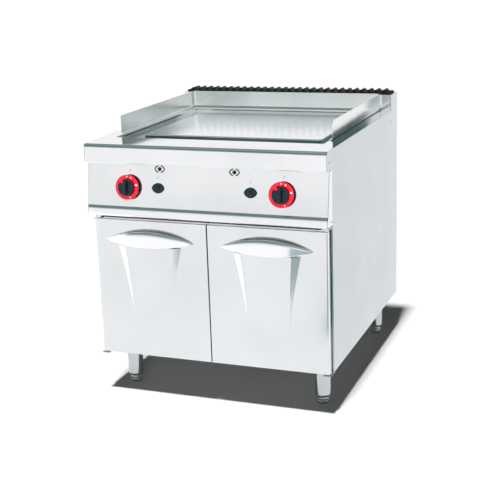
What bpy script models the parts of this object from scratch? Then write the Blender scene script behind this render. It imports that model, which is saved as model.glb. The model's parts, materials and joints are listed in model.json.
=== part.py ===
"""Flat top gas griddle, 800 mm wide, on a cabinet with two doors.

The origin is on the floor, in the middle of the rectangle that the griddle covers. +Z is up and the front
faces -Y. All lengths are in metres. A depth is counted from the front of the worktop towards the back, and
y_at() turns it into a Y coordinate. Left and right are those of a person who stands in front of the griddle.
"""

import math

import bmesh
import bpy
from mathutils import Matrix, Vector

# ---------------------------------------------------------------- driving dimensions
WIDTH = 0.800            # over the side panels
DEPTH = 0.900            # front of the worktop to the back flanges
WORK_HEIGHT = 0.850      # floor to worktop
FLUE_HEIGHT = 0.907      # floor to the top of the flue
BODY_BOTTOM = 0.146      # floor to the underside of the cabinet
SHEET = 0.0015           # stainless sheet
TOP_SHEET = 0.002        # the worktop's thicker sheet
GAP = 0.0003             # between pieces that touch
LEFT, RIGHT = -1, 1
SIDE_NAMES = {LEFT: "left", RIGHT: "right"}
HALF = WIDTH / 2
INSIDE = HALF - SHEET - GAP        # inner face of a side panel, less the gap

# worktop and griddle
ROLL = 0.0125            # radius of the worktop's rolled front edge
FASCIA_BOTTOM = 0.790
BACKSPLASH_DEPTH = 0.800
RECESS_HALF, RECESS_FRONT, RECESS_BACK = 0.351, 0.134, 0.790
PLATE_TOP, PLATE_THICK = 0.841, 0.0195
PLATE_HALF, PLATE_FRONT, PLATE_BACK = 0.308, 0.247, 0.723
MOAT_FLOOR = PLATE_TOP - PLATE_THICK - GAP
TROUGH_FLOOR = 0.800
GUARD_HALF, GUARD_FRONT, GUARD_TOP = 0.361, 0.192, 0.911

# control panel
PANEL_TOP_DEPTH, PANEL_FOOT_DEPTH = 0.025, 0.006
PANEL_TOP, PANEL_FOOT = FASCIA_BOTTOM - GAP, 0.653
NOSE_BOTTOM = 0.617
PANEL_TILT = math.atan2(PANEL_TOP_DEPTH - PANEL_FOOT_DEPTH, PANEL_TOP - PANEL_FOOT)
KNOB_X, KNOB_Z = 0.256, 0.714
BUTTON_X, BUTTON_Z = 0.154, 0.7145
SIGHT_X = {LEFT: -0.149, RIGHT: 0.101}
SIGHT_Z = 0.774
KNOB_FACE = 0.036        # panel to the front of a knob
GRIP_RADIUS = 0.027
BAR_HALF = 0.025         # half the length of a knob's finger bar
DIAL_RADIUS = 0.0395
SPINDLE_RADIUS = 0.0042

# cabinet, doors and feet
SIDE_FRONT = 0.052       # depth of the side panels' front edge
DOOR_FACE, DOOR_BACK = 0.022, 0.048
DOOR_BOTTOM, DOOR_TOP = BODY_BOTTOM, 0.603
DOOR_INNER, DOOR_OUTER = 0.0015, 0.3935
HINGE_X, HINGE_DEPTH = 0.384, 0.035
PIN_RADIUS = 0.004
TAB_BOTTOM = DOOR_TOP + 0.002      # underside of the tabs that hold the upper pins
BACK_PANEL = DEPTH - SHEET - GAP   # depth of the back panel's rear face
FLUE_FRONT = 0.806
FOOT_X, FOOT_DEPTHS = 0.335, {"front": 0.140, "rear": 0.830}
FOOT_RADIUS, GLIDE_RADIUS, GLIDE_TOP = 0.0255, 0.021, 0.024

# gas train and burners
PIPE_RADIUS, PIPE_DEPTH, PIPE_Z, PIPE_X = 0.0107, 0.085, 0.672, 0.345
BURNER_X, BURNER_Z = 0.155, 0.740
DRAIN_X, DRAIN_DEPTH, DRAIN_RADIUS = -0.200, 0.190, 0.0187
TRAY_Z = 0.640

# the lower end of a knob's finger bar stands furthest forward, so it sets the middle of the whole depth
KNOB_DEPTH = PANEL_FOOT_DEPTH + (KNOB_Z - PANEL_FOOT) * math.tan(PANEL_TILT)
PROUD = KNOB_FACE * math.cos(PANEL_TILT) + BAR_HALF * math.sin(PANEL_TILT) - KNOB_DEPTH
FRONT = PROUD - (PROUD + DEPTH) / 2


def y_at(depth):
    """Y coordinate of a depth behind the front of the worktop."""
    return FRONT + depth


# ---------------------------------------------------------------- materials
def finish(name, colour, roughness, metallic):
    """A Principled material with one colour, roughness and metallic value."""
    made = bpy.data.materials.new(name)
    made.use_nodes = True
    shader = made.node_tree.nodes["Principled BSDF"]
    shader.inputs["Base Color"].default_value = (*colour, 1.0)
    shader.inputs["Roughness"].default_value = roughness
    shader.inputs["Metallic"].default_value = metallic
    made.diffuse_color = (*colour, 1.0)
    return made


def make_finishes():
    """Every finish of the griddle, by name."""
    return {
        "steel": finish("brushed_stainless", (0.72, 0.73, 0.74), 0.32, 1.0),
        "bright": finish("polished_stainless", (0.80, 0.80, 0.80), 0.12, 1.0),
        "plate": finish("polished_plate_steel", (0.62, 0.64, 0.66), 0.15, 1.0),
        "zinc": finish("galvanised_sheet", (0.45, 0.47, 0.48), 0.5, 1.0),
        "iron": finish("black_cast_iron", (0.02, 0.02, 0.022), 0.6, 0.4),
        "brass": finish("brass", (0.62, 0.45, 0.18), 0.35, 1.0),
        "copper": finish("copper_pipe", (0.60, 0.30, 0.18), 0.35, 1.0),
        "black": finish("black_plastic", (0.015, 0.02, 0.023), 0.4, 0.0),
        "rubber": finish("black_rubber", (0.02, 0.02, 0.022), 0.7, 0.0),
        "red": finish("red_dial", (0.75, 0.01, 0.02), 0.3, 0.0),
        "dark": finish("dark_zinc_bracket", (0.05, 0.05, 0.055), 0.5, 0.8),
    }


# ---------------------------------------------------------------- outlines
def arc(centre, radius, start, stop, steps):
    """Points on an arc from angle start to stop, in degrees, both ends included."""
    angles = [math.radians(start + (stop - start) * i / steps) for i in range(steps + 1)]
    return [(centre[0] + radius * math.cos(a), centre[1] + radius * math.sin(a)) for a in angles]


def folded(face, thickness):
    """Closed outline of a folded sheet: the points of one face, and each moved one thickness to its left."""
    face = [Vector(p) for p in face]
    runs = [(b - a).normalized() for a, b in zip(face, face[1:])]
    sides = [Vector((-r.y, r.x)) for r in runs]
    sides = [sides[0], *sides, sides[-1]]
    other = []
    for point, before, after in zip(face, sides, sides[1:]):
        other.append(point + (before + after) * (thickness / (1 + before.dot(after))))
    return [tuple(p) for p in face + other[::-1]]


def rounded_rectangle(half, low, high, radius, steps=4):
    """Outline in X and Y of a rectangle that is symmetric in X, with round corners."""
    corners = [(half, high, 0), (-half, high, 90), (-half, low, 180), (half, low, 270)]
    points = []
    for x, y, start in corners:
        centre = (x - math.copysign(radius, x), y - (radius if y == high else -radius))
        points += arc(centre, radius, start, start + 90, steps)
    return points


# ---------------------------------------------------------------- solids
def box(low, high):
    """A box between two opposite corners, given in any order."""
    solid = bmesh.new()
    bmesh.ops.create_cube(solid, size=1.0)
    low, high = Vector(low), Vector(high)
    for vert in solid.verts:
        vert.co = [(a + b) / 2 + t * abs(b - a) for a, b, t in zip(low, high, vert.co)]
    return solid


def loft(rings, closed=False):
    """A skin through rings of equally many points. Its ends are capped, or joined when it is closed."""
    solid = bmesh.new()
    rows = [[solid.verts.new(p) for p in ring] for ring in rings]
    count = len(rows[0])
    pairs = list(zip(rows, rows[1:] + rows[:1])) if closed else list(zip(rows, rows[1:]))
    for first, second in pairs:
        for i in range(count):
            j = (i + 1) % count
            solid.faces.new((first[i], first[j], second[j], second[i]))
    if not closed:
        solid.faces.new(rows[0])
        solid.faces.new(rows[-1][::-1])
    return solid


def prism(outline, start, stop, axis="X"):
    """An outline carried straight along an axis. Its points are the other two coordinates, in order."""
    order = {"X": lambda p, s: (s, p[0], p[1]), "Y": lambda p, s: (p[0], s, p[1]), "Z": lambda p, s: (*p, s)}
    return loft([[order[axis](p, s) for p in outline] for s in (start, stop)])


def turned(profile, sides=20):
    """A solid turned about Z from (radius, z) points, which start and end with a flat or round cap."""
    angles = [2 * math.pi * i / sides for i in range(sides)]
    return loft([[(r * math.cos(a), r * math.sin(a), z) for a in angles] for r, z in profile])


def turned_ring(profile, sides=20):
    """A ring turned about Z from a closed loop of (radius, z) points."""
    angles = [2 * math.pi * i / sides for i in range(sides)]
    return loft([[(r * math.cos(a), r * math.sin(a), z) for a in angles] for r, z in profile], closed=True)


def rod(start, stop, radius, sides=16):
    """A round rod between two points."""
    start, stop = Vector(start), Vector(stop)
    solid = turned([(radius, 0.0), (radius, (stop - start).length)], sides)
    solid.transform(Matrix.Translation(start) @ (stop - start).to_track_quat("Z", "Y").to_matrix().to_4x4())
    return solid


def moved(solid, matrix):
    """The same solid, carried by a matrix."""
    solid.transform(matrix)
    return solid


# ---------------------------------------------------------------- objects
def to_mesh(name, solid):
    """A mesh with its faces pointing outwards."""
    bmesh.ops.remove_doubles(solid, verts=solid.verts, dist=1e-6)
    bmesh.ops.recalc_face_normals(solid, faces=solid.faces)
    mesh = bpy.data.meshes.new(name)
    solid.to_mesh(mesh)
    solid.free()
    return mesh


def helper(name, solid):
    """An object that only lives while a piece is being joined and cut."""
    made = bpy.data.objects.new(name, to_mesh(name, solid))
    bpy.context.scene.collection.objects.link(made)
    return made


def piece(name, colour, base, joined=(), cut=(), parent=None, smooth=False):
    """One sub-part: a base solid with others joined to it, and then others cut out of it."""
    blank = helper(name + "_blank", base)
    tools = [(helper(f"{name}_joined", s), "UNION") for s in joined]
    tools += [(helper(f"{name}_cutter", s), "DIFFERENCE") for s in cut]
    for tool, operation in tools:
        step = blank.modifiers.new(operation, "BOOLEAN")
        step.operation = operation
        step.solver = "EXACT"
        step.object = tool
    bpy.context.view_layer.update()
    evaluated = blank.evaluated_get(bpy.context.evaluated_depsgraph_get())
    mesh = bpy.data.meshes.new_from_object(evaluated)
    mesh.name = name
    for used in [blank, *[tool for tool, _ in tools]]:
        spent = used.data
        bpy.data.objects.remove(used)
        bpy.data.meshes.remove(spent)
    made = bpy.data.objects.new(name, mesh)
    mesh.materials.clear()
    mesh.materials.append(colour)
    bpy.context.scene.collection.objects.link(made)
    if smooth:
        mesh.shade_smooth()
        mesh.set_sharp_from_angle(angle=math.radians(35))
    if parent:
        made.parent = parent
        made.matrix_parent_inverse = parent.matrix_world.inverted()
    return made


def pivot(name, place, along=(0, 0, 1)):
    """An empty on a joint's axis, with its own Z along the axis."""
    made = bpy.data.objects.new(name, None)
    made.empty_display_size = 0.03
    made.matrix_world = Matrix.Translation(place) @ Vector(along).to_track_quat("Z", "Y").to_matrix().to_4x4()
    bpy.context.scene.collection.objects.link(made)
    bpy.context.view_layer.update()
    return made


def pipe(name, colour, path, radius, bend):
    """A round pipe along straight runs with a bend of that radius at each corner."""
    points = [Vector(path[0])]
    for before, corner, after in zip(path, path[1:], path[2:]):
        before, corner, after = Vector(before), Vector(corner), Vector(after)
        reach_in, reach_out = (before - corner).normalized() * bend, (after - corner).normalized() * bend
        for i in range(5):
            t = i / 4
            points.append(corner + reach_in * (1 - t) ** 2 + reach_out * t ** 2)
    points.append(Vector(path[-1]))
    curve = bpy.data.curves.new(name, "CURVE")
    curve.dimensions = "3D"
    curve.bevel_depth = radius
    curve.bevel_resolution = 2
    curve.use_fill_caps = True
    spline = curve.splines.new("POLY")
    spline.points.add(len(points) - 1)
    for spot, place in zip(spline.points, points):
        spot.co = (*place, 1.0)
    curve.materials.append(colour)
    made = bpy.data.objects.new(name, curve)
    bpy.context.scene.collection.objects.link(made)
    return made


# ---------------------------------------------------------------- the control panel's own frame
PANEL_OUT = Vector((0.0, -math.cos(PANEL_TILT), math.sin(PANEL_TILT)))


def panel_depth(height):
    """Depth of the panel's face at a height."""
    return PANEL_FOOT_DEPTH + (height - PANEL_FOOT) * math.tan(PANEL_TILT)


def panel_frame(x, height):
    """Matrix that puts Z along the panel's outward normal and the origin on its face."""
    across, up = Vector((1, 0, 0)), Vector((0, math.sin(PANEL_TILT), math.cos(PANEL_TILT)))
    turn = Matrix((across, up, PANEL_OUT)).transposed().to_4x4()
    return Matrix.Translation((x, y_at(panel_depth(height)), height)) @ turn


# ---------------------------------------------------------------- casing
def side_panel(side, paint):
    """A side: one sheet from the floor of the cabinet to the worktop, with a lug that closes the worktop's
    front edge, an ear beside the flue, and flanges folded inwards."""
    nose = [(y_at(d), z) for d, z in arc((ROLL, WORK_HEIGHT - ROLL), ROLL, 90, 180, 4)]
    outline = [
        (y_at(SIDE_FRONT), BODY_BOTTOM), (y_at(DEPTH), BODY_BOTTOM), (y_at(DEPTH), FLUE_HEIGHT),
        (y_at(FLUE_FRONT), FLUE_HEIGHT), (y_at(FLUE_FRONT), WORK_HEIGHT), *nose,
        (y_at(0), FASCIA_BOTTOM), (y_at(SIDE_FRONT), FASCIA_BOTTOM),
    ]
    flange = 0.020
    front = box((side * (HALF - flange), y_at(SIDE_FRONT), BODY_BOTTOM),
                (side * HALF, y_at(SIDE_FRONT + SHEET), TAB_BOTTOM - GAP))
    foot = box((side * (HALF - flange), y_at(SIDE_FRONT), BODY_BOTTOM),
               (side * HALF, y_at(DEPTH), BODY_BOTTOM + SHEET))
    back = box((side * (HALF - flange), y_at(DEPTH - SHEET), BODY_BOTTOM),
               (side * HALF, y_at(DEPTH), FLUE_HEIGHT))
    holes = [rod((side * (HALF - 0.01), y, z), (side * (HALF + 0.01), y, z), 0.0024, 12)
             for y, z in screw_places(in_panel=True)]
    return piece("side_panel_" + SIDE_NAMES[side], paint,
                 prism(outline, side * (HALF - SHEET), side * HALF), [front, foot, back], holes)


def screw_places(in_panel):
    """Y and Z of the screws on a side: two in the side panel, and one in the control panel's return."""
    panel = [(y_at(0.029), 0.8115), (y_at(0.806), 0.808)]
    return panel if in_panel else [(y_at(0.044), 0.628)]


def side_screws(side, paint):
    """The pan head screws that show on a side."""
    names = ("lug", "rear", "return")
    places = screw_places(in_panel=True) + screw_places(in_panel=False)
    for name, (y, z) in zip(names, places):
        head = turned([(0.0042, 0.0), (0.0040, 0.0010), (0.0028, 0.0020)], 12)
        shank = turned([(0.0020, -SHEET - GAP), (0.0020, 0.0005)], 12)
        place = Matrix.Translation((side * (HALF + GAP), y, z)) @ Vector((side, 0, 0)).to_track_quat(
            "Z", "Y").to_matrix().to_4x4()
        piece(f"screw_{name}_{SIDE_NAMES[side]}", paint, moved(head, place), [moved(shank, place)])


def back_panel(paint):
    """The back, with a hole for the gas pipe."""
    sheet = box((-INSIDE, y_at(BACK_PANEL - SHEET), BODY_BOTTOM + SHEET + GAP),
                (INSIDE, y_at(BACK_PANEL), FLUE_HEIGHT - GAP))
    hole = rod((PIPE_X, y_at(DEPTH - 0.02), PIPE_Z), (PIPE_X, y_at(DEPTH + 0.02), PIPE_Z),
               PIPE_RADIUS + 0.001)
    return piece("back_panel", paint, sheet, cut=[hole])


def cabinet_floor(paint):
    """The cabinet's floor, with its front edge folded down between the sides' flanges."""
    level = BODY_BOTTOM + SHEET + GAP
    front = SIDE_FRONT + SHEET + GAP
    sheet = box((-INSIDE, y_at(front), level), (INSIDE, y_at(BACK_PANEL - SHEET - GAP), level + SHEET))
    half = HALF - 0.020 - GAP
    lip = box((-half, y_at(front), BODY_BOTTOM), (half, y_at(front + SHEET), level + SHEET))
    return piece("cabinet_floor", paint, sheet, [lip])


def front_rail(paint):
    """The channel above the doors. Two tabs reach forward from it and hold the doors' upper pivot pins."""
    front, back, low, high = SIDE_FRONT + SHEET + GAP, 0.075, 0.600, NOSE_BOTTOM - GAP
    face = [(y_at(back), high), (y_at(front), high), (y_at(front), low), (y_at(back), low)]
    tabs = []
    for side in (LEFT, RIGHT):
        tabs.append(box((side * (HINGE_X - 0.012), y_at(0.026), TAB_BOTTOM),
                        (side * (HINGE_X + 0.010), y_at(front + SHEET), TAB_BOTTOM + 0.003)))
        tabs.append(rod((side * HINGE_X, y_at(HINGE_DEPTH), DOOR_TOP - 0.008),
                        (side * HINGE_X, y_at(HINGE_DEPTH), DOOR_TOP + 0.004), PIN_RADIUS))
    return piece("front_rail", paint, prism(folded(face, SHEET), -INSIDE, INSIDE), tabs)


def worktop(paint):
    """The worktop: flat on top, rolled over the front, down the fascia and back under it. The griddle's pan
    fills the rectangle cut out of it."""
    roll = arc((ROLL, WORK_HEIGHT - ROLL), ROLL, 90, 180, 6)
    fold = arc((0.003, FASCIA_BOTTOM + 0.003), 0.003, 180, 270, 3)
    face = [(FLUE_FRONT - GAP, WORK_HEIGHT), *roll, *fold, (0.045, FASCIA_BOTTOM)]
    face = [(y_at(d), z) for d, z in face]
    edge = SHEET + GAP
    recess = box((-RECESS_HALF - edge, y_at(RECESS_FRONT - edge), WORK_HEIGHT - 0.02),
                 (RECESS_HALF + edge, y_at(RECESS_BACK + edge), WORK_HEIGHT + 0.02))
    return piece("worktop", paint, prism(folded(face, TOP_SHEET), -INSIDE, INSIDE), cut=[recess], smooth=True)


def griddle_pan(paint):
    """The pan around the plate: a moat on three sides and a deeper trough in front, with a drain hole.
    Its floor is open under the plate, which rests on the opening's edge."""
    top = WORK_HEIGHT - GAP
    moat = box((-RECESS_HALF - SHEET, y_at(RECESS_FRONT - SHEET), MOAT_FLOOR - SHEET),
               (RECESS_HALF + SHEET, y_at(RECESS_BACK + SHEET), top))
    moat_space = box((-RECESS_HALF, y_at(RECESS_FRONT), MOAT_FLOOR), (RECESS_HALF, y_at(RECESS_BACK), 0.9))
    end = PLATE_HALF + SHEET
    trough = box((-end, y_at(RECESS_FRONT - SHEET), TROUGH_FLOOR - SHEET),
                 (end, y_at(PLATE_FRONT), PLATE_TOP))
    trough_space = box((-PLATE_HALF, y_at(RECESS_FRONT), TROUGH_FLOOR),
                       (PLATE_HALF, y_at(PLATE_FRONT - SHEET), 0.9))
    under = box((-0.285, y_at(0.270), 0.7), (0.285, y_at(0.700), 0.9))
    drain = rod((DRAIN_X, y_at(DRAIN_DEPTH), 0.78), (DRAIN_X, y_at(DRAIN_DEPTH), 0.83),
                DRAIN_RADIUS + GAP, 20)
    above_wall = box((-PLATE_HALF, y_at(PLATE_FRONT - 0.01), MOAT_FLOOR),
                     (PLATE_HALF, y_at(PLATE_FRONT + 0.01), 0.9))
    shell = piece_mesh_of(moat, [], [moat_space])
    return piece("griddle_pan", paint, shell, [trough], [trough_space, under, drain, above_wall])


def piece_mesh_of(base, joined, cut):
    """A solid joined and cut on the way to a piece, as a bmesh."""
    made = piece("between", None, base, joined, cut)
    solid = bmesh.new()
    solid.from_mesh(made.data)
    spent = made.data
    bpy.data.objects.remove(made)
    bpy.data.meshes.remove(spent)
    return solid


def griddle_plate(paint):
    """The thick plate, with round corners and a small round on its top edges."""
    low, high = y_at(PLATE_FRONT + GAP), y_at(PLATE_BACK)
    bottom = PLATE_TOP - PLATE_THICK
    levels = [(0.0, bottom), (0.0, PLATE_TOP - 0.003), (0.0009, PLATE_TOP - 0.0009), (0.003, PLATE_TOP)]
    half = PLATE_HALF - GAP
    rings = []
    for inset, z in levels:
        outline = rounded_rectangle(half - inset, low + inset, high - inset, 0.012 - inset)
        rings.append([(x, y, z) for x, y in outline])
    return piece("griddle_plate", paint, loft(rings))


def splash_guard(paint):
    """The guard on three sides of the griddle. Its foot turns in, runs over the worktop's edge and drops into
    the moat. The front ends have round upper corners."""
    inner = [(0.0, GUARD_TOP), *arc((0.007, 0.8588), 0.007, 180, 270, 4),
             *arc((0.0098, 0.8498), 0.002, 90, 0, 2), (0.0118, PLATE_TOP)]
    section = folded(inner, -SHEET)
    corner = 0.010
    ends = [corner * (1 - math.cos(math.radians(a))) for a in (0, 22.5, 45, 67.5, 90)]
    rings = []
    for reach in ends:
        top = GUARD_TOP - corner + math.sqrt(max(corner ** 2 - (corner - reach) ** 2, 0.0))
        rings.append([(-GUARD_HALF + u, y_at(GUARD_FRONT + reach), min(z, top)) for u, z in section])
    rings.append([(-GUARD_HALF + u, y_at(BACKSPLASH_DEPTH - u), z) for u, z in section])
    rings += [[(-x, y, z) for x, y, z in ring] for ring in rings[::-1]]
    lift = pivot("guard_lift", (0, y_at(0.5), GUARD_TOP))
    return piece("splash_guard", paint, loft(rings), parent=lift, smooth=True)


def flue_box(paint):
    """The flue: a duct behind the worktop with a narrow rim on top that carries the grate."""
    back = BACK_PANEL - SHEET - GAP
    low, high = 0.780, FLUE_HEIGHT - GAP
    duct = box((-INSIDE, y_at(FLUE_FRONT), low), (INSIDE, y_at(back), high))
    space = box((-INSIDE + SHEET, y_at(FLUE_FRONT + SHEET), low - 0.1),
                (INSIDE - SHEET, y_at(back - SHEET), high - SHEET))
    mouth = box((-0.384, y_at(0.819), high - 0.01), (0.384, y_at(0.882), high + 0.01))
    return piece("flue_box", paint, duct, cut=[space, mouth])


def flue_grate(paint):
    """The cast grate on the flue: a frame with a row of leaning blades across it."""
    half, front, back = 0.394, 0.816, 0.885
    low, top = FLUE_HEIGHT, FLUE_HEIGHT + 0.014
    rim, blades, pitch = 0.005, 28, 0.0274
    space = box((-half + 0.012, y_at(front + rim), 0.8), (half - 0.012, y_at(back - rim), 1.0))
    frame = piece_mesh_of(box((-half, y_at(front), low), (half, y_at(back), low + 0.006)), [], [space])
    first = -pitch * (blades - 1) / 2
    fins = []
    for i in range(blades):
        x = first + i * pitch
        outline = [(x + 0.010, low + 0.0015), (x + 0.004, low + 0.0015), (x - 0.005, top), (x - 0.001, top)]
        fins.append(prism(outline, y_at(front + 0.0015), y_at(back - 0.0015), "Y"))
    lift = pivot("grate_lift", (0, y_at(0.85), FLUE_HEIGHT))
    return piece("flue_grate", paint, frame, fins, parent=lift)


# ---------------------------------------------------------------- control panel
def panel_profile():
    """The outer face of the control panel as (depth, z): a flange under the fascia, the sloping face, and a
    rounded nose that ends in a flange over the doors."""
    nose = [(0.0015, 0.6515), (0.0, 0.648), (0.0, 0.622), (0.0015, 0.6185), (0.005, NOSE_BOTTOM)]
    return [(0.045, PANEL_TOP), (PANEL_TOP_DEPTH, PANEL_TOP), (PANEL_FOOT_DEPTH, PANEL_FOOT), *nose]


def control_panel(paint):
    """The control panel with its two returns, which fill the notch in front of the side panels."""
    face = [(y_at(d), z) for d, z in panel_profile()]
    back = y_at(SIDE_FRONT - GAP)
    sheet = prism(folded([*face, (back, NOSE_BOTTOM)], SHEET), -HALF, HALF)
    returns = []
    for side in (LEFT, RIGHT):
        outline = [*face, (back, NOSE_BOTTOM), (back, PANEL_TOP)]
        returns.append(prism(outline[1:], side * (HALF - SHEET), side * HALF))
    holes = [moved(rod((0, 0, -0.02), (0, 0, 0.02), radius), panel_frame(x, z))
             for x, z, radius in panel_holes()]
    for side in (LEFT, RIGHT):
        for y, z in screw_places(in_panel=False):
            holes.append(rod((side * (HALF - 0.01), y, z), (side * (HALF + 0.01), y, z), 0.0024, 12))
    return piece("control_panel", paint, sheet, returns, holes)


def panel_holes():
    """X, Z and radius of the holes for the spindles, the igniters and the two sight holes."""
    holes = []
    for side in (LEFT, RIGHT):
        holes += [(side * KNOB_X, KNOB_Z, 0.007), (side * BUTTON_X, BUTTON_Z, 0.0093),
                  (SIGHT_X[side], SIGHT_Z, 0.004)]
    return holes


def knob(side, paints):
    """A knob: a black moulding with a skirt and a finger bar, and the red dial that lies on the skirt.
    It turns on the valve's spindle, which can be pushed in."""
    name = SIDE_NAMES[side]
    frame = panel_frame(side * KNOB_X, KNOB_Z)
    turn = pivot(f"knob_{name}_axis", frame.translation, PANEL_OUT)
    skirt, step = 0.005, 0.012
    profile = [(0.036, skirt), (DIAL_RADIUS - 0.001, skirt + 0.001), (DIAL_RADIUS - 0.001, step),
               (GRIP_RADIUS, step), (GRIP_RADIUS, 0.030), (GRIP_RADIUS - 0.001, 0.0315),
               (GRIP_RADIUS - 0.004, 0.032)]
    grip = turned(profile, 32)
    bar = box((-0.006, -BAR_HALF, 0.020), (0.006, BAR_HALF, KNOB_FACE))
    bore = rod((0, 0, 0.0), (0, 0, 0.024), SPINDLE_RADIUS + GAP)
    piece(f"knob_grip_{name}", paints["black"], moved(grip, frame), [moved(bar, frame)],
          [moved(bore, frame)], parent=turn, smooth=True)
    ring = [(GRIP_RADIUS + GAP, step + GAP), (DIAL_RADIUS, step + GAP), (DIAL_RADIUS, 0.0145),
            (DIAL_RADIUS - 0.001, 0.0155), (GRIP_RADIUS + GAP, 0.0155)]
    piece(f"knob_dial_{name}", paints["red"], moved(turned_ring(ring, 40), frame), parent=turn, smooth=True)
    push = pivot(f"spindle_{name}_axis", frame.translation, PANEL_OUT)
    spindle = rod((0, 0, -0.052), (0, 0, 0.0235), SPINDLE_RADIUS)
    piece(f"spindle_{name}", paints["steel"], moved(spindle, frame), parent=push, smooth=True)


def eye_outline(half_wide, half_high, steps=5):
    """Outline of an eye: two arcs that meet at rounded corners left and right."""
    points = []
    for i in range(4 * steps):
        a = 2 * math.pi * i / (4 * steps)
        c, s = math.cos(a), math.sin(a)
        points.append((half_wide * math.copysign(abs(c) ** 1.05, c),
                       half_high * math.copysign(abs(s) ** 1.25, s)))
    return points


def igniter(side, paints):
    """A piezo igniter behind the panel, its eye-shaped rubber bezel, and the button that is pressed."""
    name = SIDE_NAMES[side]
    frame = panel_frame(side * BUTTON_X, BUTTON_Z)
    levels = [(1.0, GAP), (1.0, 0.003), (0.93, 0.005), (0.80, 0.0062)]
    rings = [[(x * k, y * k, z) for x, y in eye_outline(0.021, 0.0165)] for k, z in levels]
    bezel = loft(rings)
    body = turned([(0.009, -0.045), (0.009, 0.0045)], 20)
    nut = turned([(0.014, -0.0075), (0.014, -SHEET - GAP)], 6)
    tail = turned([(0.004, -0.060), (0.004, -0.044)], 12)
    well = rod((0, 0, -0.004), (0, 0, 0.01), 0.0085, 20)
    piece(f"igniter_{name}", paints["rubber"], moved(bezel, frame),
          [moved(body, frame), moved(nut, frame), moved(tail, frame)], [moved(well, frame)], smooth=True)
    push = pivot(f"igniter_button_{name}_axis", frame.translation, PANEL_OUT)
    cap = turned([(0.0078, 0.0008), (0.0080, 0.0012), (0.0080, 0.0090), (0.0070, 0.0108),
                  (0.0040, 0.0118)])
    piece(f"igniter_button_{name}", paints["black"], moved(cap, frame), parent=push, smooth=True)


def sight_tube(side, paint):
    """The tube behind a sight hole, through which the pilot flame is seen."""
    x, start = SIGHT_X[side], panel_depth(SIGHT_Z) + 0.004
    length = 0.215 - start
    wall = turned_ring([(0.0055, 0), (0.0070, 0), (0.0070, length), (0.0055, length)], 16)
    place = Matrix.Translation((x, y_at(start), SIGHT_Z)) @ Matrix.Rotation(-math.pi / 2, 4, "X")
    piece("sight_tube_" + SIDE_NAMES[side], paint, moved(wall, place), smooth=True)


# ---------------------------------------------------------------- gas train
def gas_pipe(paint):
    """The pipe from the back of the cabinet that carries both valves."""
    path = [(-0.300, y_at(PIPE_DEPTH), PIPE_Z), (PIPE_X, y_at(PIPE_DEPTH), PIPE_Z),
            (PIPE_X, y_at(DEPTH - 0.0005), PIPE_Z)]
    return pipe("gas_pipe", paint, path, PIPE_RADIUS, 0.030)


def gas_valve(side, paint):
    """A valve clamped on the pipe, with its neck along the spindle."""
    frame = panel_frame(side * KNOB_X, KNOB_Z)
    neck = turned([(0.012, -0.040), (0.012, -0.050), (0.017, -0.052), (0.017, -0.084), (0.012, -0.088)], 16)
    x, low = side * KNOB_X, PIPE_Z + PIPE_RADIUS + GAP
    block = box((x - 0.016, y_at(PIPE_DEPTH - 0.018), low),
                (x + 0.016, y_at(PIPE_DEPTH + 0.018), low + 0.024))
    bore = rod((0, 0, -0.062), (0, 0, -0.030), SPINDLE_RADIUS + 0.0005)
    piece("gas_valve_" + SIDE_NAMES[side], paint, moved(neck, frame), [block], [moved(bore, frame)],
          smooth=True)


def feed_pipe(side, paint):
    """The small pipe from a valve to its burner's venturi, which ends in the injector."""
    x, start = side * KNOB_X, PIPE_DEPTH + 0.018 + GAP
    z = PIPE_Z + PIPE_RADIUS + 0.014
    behind = y_at(start + 0.014)
    path = [(x, y_at(start), z), (x, behind, z), (side * BURNER_X, behind, z),
            (side * BURNER_X, behind, BURNER_Z), (side * BURNER_X, y_at(start + 0.026), BURNER_Z)]
    return pipe("feed_pipe_" + SIDE_NAMES[side], paint, path, 0.004, 0.009)


def burner(side, paint):
    """A burner: a venturi that feeds a cross tube with two long flame tubes."""
    x, z, cross, end = side * BURNER_X, BURNER_Z, 0.255, 0.705
    venturi = moved(turned([(0.020, 0), (0.014, 0.035), (0.020, cross - 0.131)], 16),
                    Matrix.Translation((x, y_at(0.131), z)) @ Matrix.Rotation(-math.pi / 2, 4, "X"))
    manifold = rod((x - 0.075, y_at(cross), z), (x + 0.075, y_at(cross), z), 0.020)
    tubes = [rod((x + dx, y_at(cross), z), (x + dx, y_at(end), z), 0.017) for dx in (-0.055, 0.055)]
    piece("burner_" + SIDE_NAMES[side], paint, manifold, [venturi, *tubes], smooth=True)


def burner_tray(paint):
    """The heat shield between the burners and the cabinet. Two cross walls carry the burners."""
    front, back = SIDE_FRONT + SHEET + GAP, BACK_PANEL - SHEET - GAP
    sheet = box((-INSIDE, y_at(front), TRAY_Z), (INSIDE, y_at(back), TRAY_Z + SHEET))
    walls = [box((-0.325, y_at(d), TRAY_Z), (0.325, y_at(d + SHEET), BURNER_Z - reach - GAP))
             for d, reach in ((0.225, 0.020), (0.690, 0.017))]
    hole = rod((DRAIN_X, y_at(DRAIN_DEPTH), TRAY_Z - 0.02), (DRAIN_X, y_at(DRAIN_DEPTH), TRAY_Z + 0.02),
               DRAIN_RADIUS + 0.001, 20)
    return piece("burner_tray", paint, sheet, walls, [hole])


def pilot(side, paint):
    """A pilot burner and its thermocouple, on the tray's front cross wall."""
    x, back = side * 0.118, 0.225 - GAP
    bracket = box((x - 0.010, y_at(back - 0.002), 0.690), (x + 0.010, y_at(back), 0.716))
    head = rod((x - 0.005, y_at(back - 0.007), 0.690), (x - 0.005, y_at(back - 0.007), 0.742), 0.0055, 12)
    probe = rod((x + 0.006, y_at(back - 0.005), 0.680), (x + 0.006, y_at(back - 0.005), 0.752), 0.0035, 12)
    piece("pilot_" + SIDE_NAMES[side], paint, bracket, [head, probe])


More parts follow.
